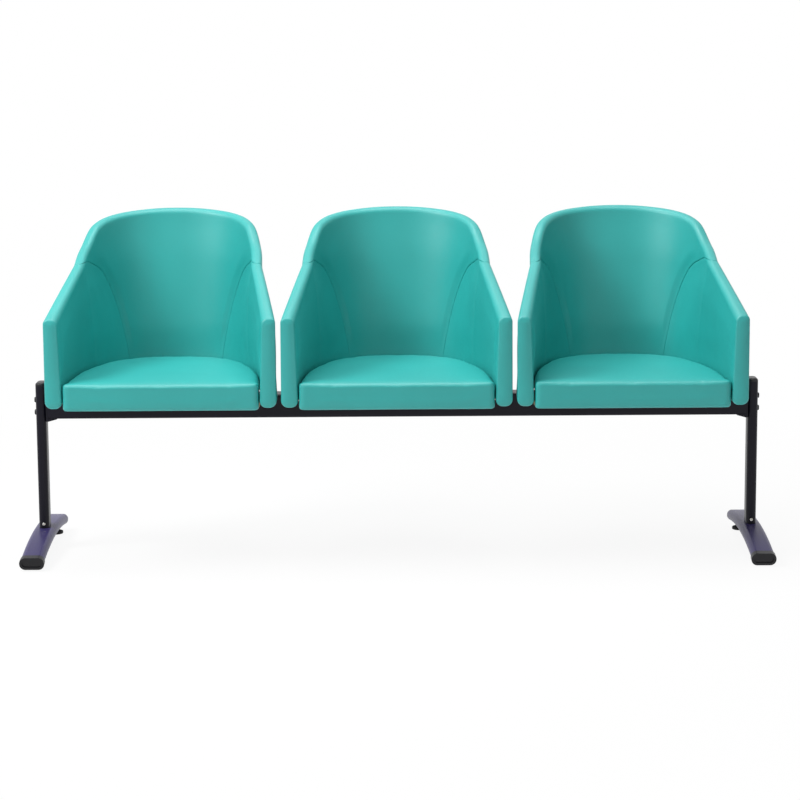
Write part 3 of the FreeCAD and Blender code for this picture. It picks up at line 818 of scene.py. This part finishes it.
class TubPadding:
    """Upholstered arms and back of one chair."""

    BODY_ROWS, EDGE_ROWS, CAP_ROWS = 74, 6, 7
    FILL = 0.9

    def __init__(self, sizes: TubSizes) -> None:
        """Work out the seam and keep the shape."""
        self.sizes = sizes
        self.shape = TubShape(sizes)
        self.seam = self.shape.seam()
        self.cap_keep = np.linspace(0, 1, self.CAP_ROWS, endpoint=False)[:, None]

    def band(self, *values: Array | float) -> Array:
        """Rows of the skin with the four values that TubShape.points takes, (rows, points, 4)."""
        return np.stack(np.broadcast_arrays(*values, self.seam)[:len(values)], axis=-1)

    def skin(self, *bands: Array) -> Array:
        """Points of the skin through bands of rows."""
        return self.shape.points(*np.moveaxis(np.concatenate(bands), -1, 0))

    def seam_end(self, way: float) -> Array:
        """Band from a pad's hidden middle out to the seam and over the rounded edge; way as in edge_rows."""
        groove = self.shape.groove()
        edge_s, edge_inset = self.shape.edge_rows(groove, self.EDGE_ROWS, self.seam, way)
        across_wall = self.seam[(-np.arange(len(self.seam))) % len(self.seam)]
        middle_s = (self.seam + across_wall) / 2
        end_s = middle_s + (edge_s[:1] - middle_s) * self.cap_keep
        return np.concatenate([self.band(end_s, groove, self.cap_keep, 0.0),
                               self.band(edge_s, edge_inset, 1.0, 0.0)])

    def arm_points(self) -> Array:
        """Skin of the right arm: front face, rounded front edge, body, rounded seam edge and hidden end."""
        z = self.sizes
        seam_end = self.seam_end(-1.0)
        front_in, front_down = rounding(z.front_edge, self.EDGE_ROWS)
        front_s = front_in[:, None] / (z.seam_foot_y - z.front_y)
        share = np.linspace(0, 1, self.BODY_ROWS + 2)[1:-1, None]
        body_s = front_s[-1:] + (seam_end[-1:, :, 0] - front_s[-1:]) * share
        pillow = smooth_step(share, 0.0, z.front_blend) * smooth_step(1 - share, 0.0, z.seam_blend)
        points = self.skin(self.band(0.0, z.front_edge, self.cap_keep, 0.0),
                           self.band(front_s, front_down[:, None], 1.0, 0.0),
                           self.band(body_s, 0.0, 1.0, pillow), seam_end[::-1])
        points[:self.CAP_ROWS, :, 1] -= z.front_crown * (1 - self.cap_keep ** 2)
        return points

    def back_points(self) -> Array:
        """Skin of the back, from the right seam round to the left one."""
        seam_end = self.seam_end(1.0)
        share = np.linspace(0, 1, self.BODY_ROWS + 2)[1:, None]
        body_s = seam_end[-1:, :, 0] + (2.0 - seam_end[-1:, :, 0]) * share
        pillow = smooth_step(share, 0.0, self.sizes.back_blend)
        half = self.skin(seam_end, self.band(body_s, 0.0, 1.0, pillow))
        return np.concatenate([half, half[-2::-1] * np.array([-1.0, 1.0, 1.0])])

    def build(self, chair: int, middle_x: float, finish: Material) -> None:
        """Make the three padded pieces of one chair.

        Args:
            chair: the chair's number.
            middle_x: the chair's place along the row.
            finish: the upholstery.
        """
        skins = {f"{side.word}_arm": self.arm_points() * np.array([side.value, 1.0, 1.0]) for side in Side}
        for word, skin in {**skins, "back": self.back_points()}.items():
            name = f"chair_{chair}_{word}"
            piece = surface(f"{name}_padding", [skin + np.array([middle_x, 0.0, 0.0])])
            place(piece, Slot.LEATHERETTE, finish, name)


@dataclass(frozen=True)
class CushionSizes:
    """Sizes of the seat cushion about the chair's own middle."""

    front_y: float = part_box("chair_2_seat_cushion")[0].y
    apron_bottom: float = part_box("chair_2_seat_cushion")[0].z
    board_top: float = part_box("chair_2_seat_board")[1].z
    board_front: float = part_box("chair_2_seat_board")[0].y
    board_gap: float = 0.0004
    edge_top: float = 0.471
    edge_band: float = 0.004
    crown: float = 0.004
    middle_y: float = -0.05
    front_zone: float = 0.05
    apron_blend: tuple[float, float] = (0.009, 0.001)
    front_corner: float = 0.012
    side_gap: float = 0.0022
    front_crease: float = 0.0050
    side_crease: float = 0.0100
    bottom_edge: float = 0.0060
    swell: float = 0.0075
    side_swell: float = 0.0015
    voxel: float = 0.005
    pressure: float = 4.0
    frames: int = 20


class SeatCushion:
    """Foam seat cushion, swollen by a cloth simulation under its cover."""

    OUTLINE, CONTOUR, FRONT = 260, 150, 30
    FILL = 0.8

    def __init__(self, sizes: CushionSizes, tub: TubShape) -> None:
        """Keep the sizes and the tub that the cushion fits into."""
        self.sizes = sizes
        self.tub = tub

    def outline(self) -> Array:
        """Outline from above: straight front, rounded corners, and the tub's inner face held off by a gap.

        The corners are quarter circles; the whole line is then shared out into equal lengths.
        """
        z = self.sizes
        here = self.tub.stations(np.linspace(0.02, 2.0, self.CONTOUR))
        share = (z.edge_top - z.edge_band - here.foot[:, 2]) / (here.head[:, 2] - here.foot[:, 2])
        half = here.half_foot + (here.half_head - here.half_foot) * share
        inner = here.foot + (here.head - here.foot) * share[:, None]
        inner = inner - here.across * (half + z.side_gap)[:, None]
        radius = z.front_corner
        right = inner[inner[:, 1] > z.front_y + radius + z.edge_band, :2]
        angle = np.linspace(0, math.pi / 2, 9)
        corner = np.stack([right[0, 0] - radius + radius * np.sin(angle),
                           z.front_y + radius - radius * np.cos(angle)], axis=-1)
        front = np.stack([np.linspace(0, corner[0, 0], self.FRONT, endpoint=False),
                          np.full(self.FRONT, z.front_y)], axis=-1)
        path = np.concatenate([front, corner, right])
        path = np.concatenate([path, (path * np.array([-1.0, 1.0]))[-2::-1]])
        run = np.concatenate([[0.0], np.cumsum(np.linalg.norm(np.diff(path, axis=0), axis=-1))])
        even = np.linspace(0, run[-1], self.OUTLINE, endpoint=False)
        return np.stack([np.interp(even, run, path[:, 0]), np.interp(even, run, path[:, 1])], axis=-1)

    def points(self) -> Array:
        """Skin of the cushion: rings from the middle of its underside up to the middle of its top.

        A ring is the outline moved in along its normal by the roundings, or scaled towards the middle
        on the two faces. The top stands at its edge height plus crown (1 - f^2) at the scale f.
        """
        z, outline = self.sizes, self.outline()
        tangent = np.roll(outline, -1, axis=0) - np.roll(outline, 1, axis=0)
        tangent /= np.linalg.norm(tangent, axis=-1, keepdims=True)
        normal = np.stack([tangent[:, 1], -tangent[:, 0]], axis=-1)
        centre = np.array([0.0, z.middle_y])
        rear = smooth_step(outline[:, 1], z.front_y + z.edge_band, z.front_y + z.front_zone)
        top_radius = z.front_crease + (z.side_crease - z.front_crease) * rear
        angle = np.linspace(0, math.pi / 2, 7)[:, None]
        scale = np.concatenate([[0.0], np.linspace(0.15, 0.985, 34)])[:, None]
        wall = np.linspace(0, 1, 9)[1:-1, None]
        under = centre + (outline - normal * z.bottom_edge - centre) * scale[..., None]
        floor = z.apron_bottom + (z.board_top + z.board_gap - z.apron_bottom) * smooth_step(
            under[..., 1], *(z.board_front - blend for blend in z.apron_blend))
        low = np.where(rear > 0.5, z.board_top + z.board_gap, z.apron_bottom)
        bend = outline - normal * (z.bottom_edge * (1 - np.sin(angle)))[..., None]
        bend_z = low + z.bottom_edge * (1 - np.cos(angle))
        top_start = z.edge_top - top_radius
        side_z = low + z.bottom_edge + (top_start - low - z.bottom_edge) * wall
        side = outline + 0 * wall[..., None]
        roll = outline - normal * (top_radius * (1 - np.cos(angle)))[..., None]
        roll_z = top_start + top_radius * np.sin(angle)
        over = centre + (roll[-1] - centre) * scale[::-1, :, None]
        over_z = z.edge_top + z.crown * (1 - scale[::-1] ** 2) + 0 * outline[:, 0]
        flat = np.concatenate([under, bend, side, roll, over])
        height = np.concatenate([floor, bend_z, side_z, roll_z, over_z])
        return np.concatenate([flat, height[..., None]], axis=-1)

    def simulate(self, piece: bpy.types.Object) -> None:
        """Swell the cushion as cloth under pressure, and cap how far its points move.

        The cloth is the cushion remeshed at a few millimetres. A point's way is shortened so that it
        never passes the cap, and its level part has a smaller cap than its upright part.

        Args:
            piece: the cushion, whose mesh is replaced by the swollen one.
        """
        z = self.sizes
        remesh = piece.modifiers.new("voxels", "REMESH")
        remesh.mode, remesh.voxel_size, remesh.use_smooth_shade = "VOXEL", z.voxel, True
        apply_modifier(piece, remesh)
        start = vertex_array(piece)
        cloth = piece.modifiers.new("cover", "CLOTH")
        cloth.settings.use_pressure = True
        cloth.settings.uniform_pressure_force = z.pressure
        cloth.settings.effector_weights.gravity = 0.0
        cloth.settings.quality = 4
        cloth.point_cache.frame_start, cloth.point_cache.frame_end = 1, z.frames
        for number in range(1, z.frames + 1):
            bpy.context.scene.frame_set(number)
        apply_modifier(piece, cloth)
        bpy.context.scene.frame_set(1)
        move = vertex_array(piece) - start
        upright = smooth_step(start[:, 2], z.board_top + 0.012, z.edge_top - z.edge_band)
        level = np.linalg.norm(move[:, :2], axis=1, keepdims=True) + 1e-9
        flat_move = move[:, :2] * (z.side_swell / (level + z.side_swell))
        tall_move = move[:, 2] * (z.swell / (np.abs(move[:, 2]) + z.swell)) * upright
        set_vertices(piece, start + np.concatenate([flat_move, tall_move[:, None]], axis=1))
        subdivide = piece.modifiers.new("smooth", "SUBSURF")
        subdivide.levels = subdivide.render_levels = 1
        apply_modifier(piece, subdivide)
        piece.data.polygons.foreach_set("use_smooth", np.ones(len(piece.data.polygons), dtype=bool))

    def build(self, chairs: dict[int, float], finish: Material) -> None:
        """Make one cushion and copy it into every chair.

        Args:
            chairs: each chair's place along the row, by its number.
            finish: the upholstery.
        """
        first = surface("cushion_form", [self.points()])
        self.simulate(first)
        skin = vertex_array(first)
        for chair, middle_x in chairs.items():
            piece = first.copy()
            piece.data = first.data.copy()
            piece.name = piece.data.name = f"chair_{chair}_cushion"
            bpy.context.scene.collection.objects.link(piece)
            set_vertices(piece, skin + np.array([middle_x, 0.0, 0.0]))
            piece.data.update()
            place(piece, Slot.LEATHERETTE, finish, f"chair_{chair}_seat_cushion")
        bpy.data.objects.remove(first)


def vertex_array(piece: bpy.types.Object) -> Array:
    """Points of a mesh object, one row each."""
    points = np.zeros(len(piece.data.vertices) * 3, np.float32)
    piece.data.vertices.foreach_get("co", points)
    return points.reshape(-1, 3).astype(np.float64)


def set_vertices(piece: bpy.types.Object, points: Array) -> None:
    """Move the points of a mesh object, one row each."""
    piece.data.vertices.foreach_set("co", points.astype(np.float32).ravel())


def apply_modifier(piece: bpy.types.Object, modifier: bpy.types.Modifier) -> None:
    """Put a modifier's result into the piece's mesh and take the modifier off."""
    graph = bpy.context.evaluated_depsgraph_get()
    mesh = bpy.data.meshes.new_from_object(piece.evaluated_get(graph))
    piece.modifiers.remove(modifier)
    old, piece.data = piece.data, mesh
    bpy.data.meshes.remove(old)


# Fasteners and glides

SCREW_AROUND = 36

def basis(direction: Vector) -> Array:
    """Three unit vectors as rows: two square to the direction, and the direction."""
    turn = Vector((0, 0, 1)).rotation_difference(direction)
    return np.array([turn @ Vector((1, 0, 0)), turn @ Vector((0, 1, 0)), turn @ Vector((0, 0, 1))])


def thread_radius(angle: Array, along: Array, radius: float, pitch: float) -> Array:
    """Radius of a screw thread: its crest follows angle / (2 pi) = along / pitch, in triangle waves."""
    depth_share = 0.54
    turn = (along / pitch - angle / (2 * math.pi)) % 1.0
    return radius - depth_share * pitch * np.abs(2 * turn - 1)


def hexagon(inner_radius: float, angle: Array) -> Array:
    """Radius of a hexagon: its inner radius over the cosine of the angle from the nearest flat's middle."""
    return inner_radius / np.cos((angle + math.pi / 6) % (math.pi / 3) - math.pi / 6)


def turned(angle: Array, rows: list[tuple[Array | float, Array | float]]) -> Array:
    """Points of a turned surface about the Z axis, from rows of radius and height."""
    radius, height = (np.concatenate([np.atleast_2d(value) + 0 * angle for value in values])
                      for values in zip(*rows))
    return np.stack([radius * np.cos(angle), radius * np.sin(angle), height], axis=-1)


@dataclass(frozen=True)
class SocketScrew:
    """Headed screw with a hexagonal socket, whose surface is one grid: turns by steps along its outline."""

    shank: float
    length: float
    head: float
    head_height: float
    pitch: float
    socket: float

    def points(self, start: Vector, direction: Vector) -> Array:
        """Skin of the screw: socket floor, hexagonal socket wall, rounded head, shank and thread."""
        angle = np.linspace(0, 2 * math.pi, SCREW_AROUND, endpoint=False)[None]
        flats = hexagon(self.socket, angle)
        top, deep, bevel = -self.head_height, -self.head_height * 0.45, self.head_height * 0.38
        turn = np.linspace(0, math.pi / 2, 5)[:, None]
        steps = np.linspace(0.0006, self.length - 0.0012, max(8, int(self.length / self.pitch * 4)))[:, None]
        rows = [(0.0, deep), (0.96 * flats, deep), (flats, deep - 0.0002), (flats, top + 0.0003),
                (flats * 1.06, top),
                (self.head - bevel + bevel * np.sin(turn), top + bevel * (1 - np.cos(turn))),
                (self.head, 0.0), (self.shank * 1.01, 0.0),
                (thread_radius(angle, steps, self.shank, self.pitch), steps),
                (0.7 * self.shank, self.length), (0.0, self.length)]
        return turned(angle, rows) @ basis(direction) + np.array(start)


@dataclass(frozen=True)
class FastenerSet:
    """Every screw of one node, placed by the node's solids; the axis is 0 for X, 1 for Y and 2 for Z."""

    node: str
    kind: SocketScrew
    axis: int

    def places(self) -> list[tuple[Vector, Vector]]:
        """Where each screw of the node's group starts and which way it points.

        The node's mesh is parted into its separate solids. A screw lies along the set's axis between
        the lowest and highest place of its solid, and its head is at the end whose points reach
        further from the axis.
        """
        work = bmesh.new()
        work.from_mesh(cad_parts[self.node].data)
        bmesh.ops.remove_doubles(work, verts=work.verts, dist=1e-5)
        found, seen = [], set()
        for vertex in work.verts:
            if vertex in seen:
                continue
            front, island = [vertex], {vertex}
            while front:
                linked = {edge.other_vert(item) for item in front for edge in item.link_edges} - island
                island |= linked
                front = list(linked)
            seen |= island
            found.append(np.array([item.co for item in island]))
        work.free()
        places = []
        for cloud in found:
            low, high = cloud.min(0), cloud.max(0)
            centre = (low + high) / 2
            cross = np.delete(np.arange(3), self.axis)
            reach = np.linalg.norm(cloud[:, cross] - centre[cross], axis=1)
            wide = cloud[reach > (self.kind.shank + self.kind.head) / 2, self.axis]
            sign = 1.0 if wide.mean() < centre[self.axis] else -1.0
            start, direction = centre.copy(), np.zeros(3)
            start[self.axis] = (low if sign > 0 else high)[self.axis] + sign * self.kind.head_height
            direction[self.axis] = sign
            places.append((Vector(start), Vector(direction)))
        return places

    def build(self, finish: Material) -> None:
        """Make the whole group as one piece."""
        grids = [self.kind.points(start, direction) for start, direction in self.places()]
        place(surface(f"{self.node}_cut", grids), Slot.ZINC, finish, self.node)


@dataclass(frozen=True)
class LevellingGlides:
    """The four glides under the feet and their threaded studs."""

    radius: float = 0.020
    rim_height: float = 0.007
    height: float = 0.012
    edge: float = 0.0018
    neck: float = 0.009
    bore: float = 0.00505
    socket_depth: float = 0.006
    recess: float = 0.0006
    stud: float = 0.005
    stud_length: float = 0.030
    stud_socket: float = 0.002
    stud_socket_depth: float = 0.003
    pitch: float = 0.0015
    ribs: int = 30
    rib_depth: float = 0.0006
    pad_around: int = 240
    stud_around: int = 48
    thread_rows: int = 110

    def pad_points(self) -> Array:
        """Skin of a glide pad: turned profile whose rim has grip ribs, radius - depth |sin(n a / 2)|."""
        angle = np.linspace(0, 2 * math.pi, self.pad_around, endpoint=False)[None]
        rib = self.rib_depth * np.abs(np.sin(self.ribs * angle / 2))
        turns = zip(np.linspace(0, math.pi / 2, 5), (0.0, 0.0, 0.0, 0.0, 0.3))
        rolled = [(self.radius - self.edge + self.edge * np.sin(turn), self.edge - self.edge * np.cos(turn), share)
                  for turn, share in turns]
        floor = self.height - self.socket_depth
        profile = [
            (0.0, self.recess, 0.0), (self.radius * 0.5, self.recess, 0.0),
            (self.radius * 0.78, self.recess, 0.0),
            (self.radius * 0.80, 0.0, 0.0), (self.radius - self.edge, 0.0, 0.0), *rolled,
            (self.radius, self.edge * 1.4, 1.0), (self.radius, self.rim_height - 0.0008, 1.0),
            (self.radius - 0.0007, self.rim_height, 0.3),
            (self.neck + 0.004, self.rim_height + 0.0022, 0.0),
            (self.neck + 0.0012, self.height - 0.0018, 0.0), (self.neck, self.height - 0.0006, 0.0),
            (self.neck - 0.0005, self.height, 0.0), (self.bore + 0.0004, self.height, 0.0),
            (self.bore, self.height - 0.0004, 0.0), (self.bore, floor, 0.0), (0.0, floor, 0.0)]
        return turned(angle, [(radius - share * rib, height) for radius, height, share in profile])

    def stud_points(self) -> Array:
        """Skin of a threaded stud: plain foot, thread, and a bevelled tip with a hexagonal socket."""
        angle = np.linspace(0, 2 * math.pi, self.stud_around, endpoint=False)[None]
        plain = self.socket_depth + 0.0005
        steps = np.linspace(plain, self.stud_length - 0.001, self.thread_rows)[:, None]
        flats, floor = hexagon(self.stud_socket, angle), self.stud_length - self.stud_socket_depth
        rows = [(0.0, 0.0), (0.96 * self.stud, 0.0), (self.stud, 0.0003), (self.stud, plain - 0.0004),
                (thread_radius(angle, steps, self.stud, self.pitch), steps),
                (0.8 * self.stud, self.stud_length),
                (flats, self.stud_length), (flats, floor), (0.0, floor)]
        return turned(angle, rows)

    def build(self, materials: dict[Slot, Material]) -> None:
        """Make the four pads and the four studs, each on its own body."""
        kinds = (("glide", "pad", "glide_shoe", self.pad_points(), Slot.RUBBER),
                 ("stud", "stud", "glide_threaded_stud", self.stud_points(), Slot.ZINC))
        for side in Side:
            for end in End:
                corner = f"{side.word}_{end.value}"
                low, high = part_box(f"{corner}_glide_pad")
                for body, part, word, skin, slot in kinds:
                    node = f"{corner}_glide_{part}"
                    centre = np.array([(low.x + high.x) / 2, (low.y + high.y) / 2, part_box(node)[0].z])
                    piece = surface(f"{corner}_{word}", [skin + centre])
                    place(piece, slot, materials[slot], node, f"{corner}_{body}")


# Steel frame and small parts that keep their CAD shape


class CarriedParts:
    """CAD nodes whose shape is right: they only get their finish."""

    ENDINGS = {
        "_core": Slot.PLYWOOD, "_board": Slot.PLYWOOD, "_dust_cover": Slot.DUST_CLOTH,
        "_bracket": Slot.BLACK_ENAMEL, "beam": Slot.BLACK_ENAMEL, "_post": Slot.BLACK_ENAMEL,
        "_foot": Slot.FOOT_ENAMEL, "_cap": Slot.PLASTIC, "_bushes": Slot.ZINC, "_screws": Slot.ZINC,
    }

    def dress(self, materials: dict[Slot, Material]) -> None:
        """Give each shown node the finish that its name's ending calls for."""
        for name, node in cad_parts.items():
            if node.hide_render:
                continue
            slot = next(slot for ending, slot in self.ENDINGS.items() if name.endswith(ending))
            node.data.materials.clear()
            node.data.materials.append(materials[slot])
            LOG.info("%s keeps its CAD shape, in %s", name, slot.value)


# Studio


@dataclass(frozen=True)
class Lamp:
    """One soft area lamp."""

    name: str
    place: Place
    size: float
    power: float
    aim: Place = (0.0, 0.0, 0.5)


@dataclass(frozen=True)
class Studio:
    """White room, soft lamps and the camera."""

    camera_place: Place = (0.0, -6.321, 1.431)
    camera_aim: Place = (0.008, 0.0, 0.385)
    camera_lens: float = 112.4
    camera_roll: float = -0.35
    ambient: float = 0.15
    shadow_share: float = 0.08
    shadow_reach: tuple[float, float] = (0.9, 2.4)
    lamps: tuple[Lamp, ...] = (
        Lamp("key", (-3.0, -1.5, 3.6), 1.6, 165.0),
        Lamp("top", (-0.2, 0.1, 4.2), 2.4, 112.0),
        Lamp("fill", (3.2, -4.4, 1.8), 2.6, 15.0),
    )

    def white_stage_material(self) -> Material:
        """Pale surface that camera, glossy and transmission rays see as white.

        Near the row it keeps a share of its real shading, for the row's shadow.
        """
        material = bpy.data.materials.new("studio_white")
        material.use_nodes = True
        graph = GraphBuilder(material.node_tree)
        nodes = material.node_tree.nodes
        shader = nodes["Principled BSDF"]
        shader.inputs["Base Color"].default_value = (0.9, 0.9, 0.9, 1.0)
        shader.inputs["Roughness"].default_value = 0.9
        away = graph.add("VectorMath", {0: graph.add("TexCoord").outputs["Object"]}, operation="LENGTH")
        share = graph.remap(away.outputs["Value"], *self.shadow_reach, self.shadow_share, 0.0)
        glow = graph.product(graph.seen_directly(), graph.math("SUBTRACT", 1.0, share))
        mix = graph.add("MixShader", {0: glow, 1: shader.outputs[0], 2: graph.add("Emission").outputs[0]})
        graph.feed(nodes["Material Output"].inputs["Surface"], mix.outputs[0])
        return material

    def build_world(self) -> None:
        """World that lights softly and shows as white to camera, glossy and transmission rays."""
        world = bpy.data.worlds.new("white_room")
        world.use_nodes = True
        bpy.context.scene.world = world
        graph = GraphBuilder(world.node_tree)
        background = world.node_tree.nodes["Background"]
        background.inputs["Color"].default_value = (1.0, 1.0, 1.0, 1.0)
        strength = graph.remap(graph.seen_directly(), 0.0, 1.0, self.ambient, 1.0)
        graph.feed(background.inputs["Strength"], strength)

    def build_stage(self) -> None:
        """Floor that bends up into a backdrop: straight, a quarter circle, straight."""
        turn = np.linspace(0, math.pi / 2, 16)
        front, radius, depth, height, half_width = -14.0, 2.0, 6.0, 5.0, 16.0
        y = np.concatenate([[front], depth + radius * np.sin(turn), [depth + radius]])
        z = np.concatenate([[0.0], radius * (1 - np.cos(turn)), [height + radius]])
        x = np.array([-half_width, half_width])
        grid = np.stack(np.broadcast_arrays(x[None], y[:, None], z[:, None]), axis=-1)
        floor = surface("studio_floor", [grid], closed=False)
        floor.data.materials.append(self.white_stage_material())

    def hold(self, name: str, data: bpy.types.ID, spot: Place, aim: Place,
             roll: float = 0.0) -> bpy.types.Object:
        """Put a lamp or camera at a spot, aimed at a point and rolled by some degrees about its view."""
        holder = bpy.data.objects.new(name, data)
        holder.location = spot
        holder.rotation_mode = "QUATERNION"
        way = Vector(aim) - Vector(spot)
        turn = Quaternion((0.0, 0.0, 1.0), math.radians(roll))
        holder.rotation_quaternion = way.to_track_quat("-Z", "Y") @ turn
        bpy.context.scene.collection.objects.link(holder)
        return holder

    def build_lamps(self) -> None:
        """Soft square lamps aimed at the row."""
        for lamp in self.lamps:
            light = bpy.data.lights.new(lamp.name, "AREA")
            light.size, light.energy = lamp.size, lamp.power
            self.hold(lamp.name, light, lamp.place, lamp.aim)

    def build_camera(self) -> None:
        """Camera at the photograph's viewing angle, rolled by a third of a degree as the photograph is."""
        data = bpy.data.cameras.new("camera")
        data.lens, data.sensor_width = self.camera_lens, 36.0
        bpy.context.scene.camera = self.hold("camera", data, self.camera_place, self.camera_aim,
                                             self.camera_roll)

    def build(self) -> None:
        """Make the whole studio and set the plain view transform."""
        self.build_world()
        self.build_stage()
        self.build_lamps()
        self.build_camera()
        bpy.context.scene.view_settings.view_transform = "Standard"


BLACK_FASTENERS = FastenerSet("beam_bolts", SocketScrew(0.004, 0.044, 0.007, 0.005, 0.00125, 0.0025), 0)
BRIGHT_FASTENERS = (
    FastenerSet("foot_screws", SocketScrew(0.003, 0.0105, 0.004, 0.003, 0.001, 0.0015), 1),
    FastenerSet("bracket_screws", SocketScrew(0.003, 0.016, 0.006, 0.003, 0.001, 0.002), 1),
    FastenerSet("seat_bolts", SocketScrew(0.003, 0.018, 0.006, 0.003, 0.001, 0.002), 2),
)


def main() -> None:
    """Build the studio and every piece."""
    logging.basicConfig(level=logging.INFO, format="%(name)s: %(message)s")
    Studio().build()
    materials = {slot: finish.make() for slot, finish in FINISHES.items()}
    leatherette = materials[Slot.LEATHERETTE]
    padding = TubPadding(TubSizes())
    chairs = {chair: sum(corner.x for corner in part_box(f"chair_{chair}_back")) / 2 for chair in CHAIRS}
    for chair, middle_x in chairs.items():
        padding.build(chair, middle_x, leatherette)
    SeatCushion(CushionSizes(), padding.shape).build(chairs, leatherette)
    for fasteners in BRIGHT_FASTENERS:
        fasteners.build(materials[Slot.ZINC])
    BLACK_FASTENERS.build(BLACK_ZINC.make())
    LevellingGlides().build(materials)
    CarriedParts().dress(materials)


if __name__ == "__main__":
    main()
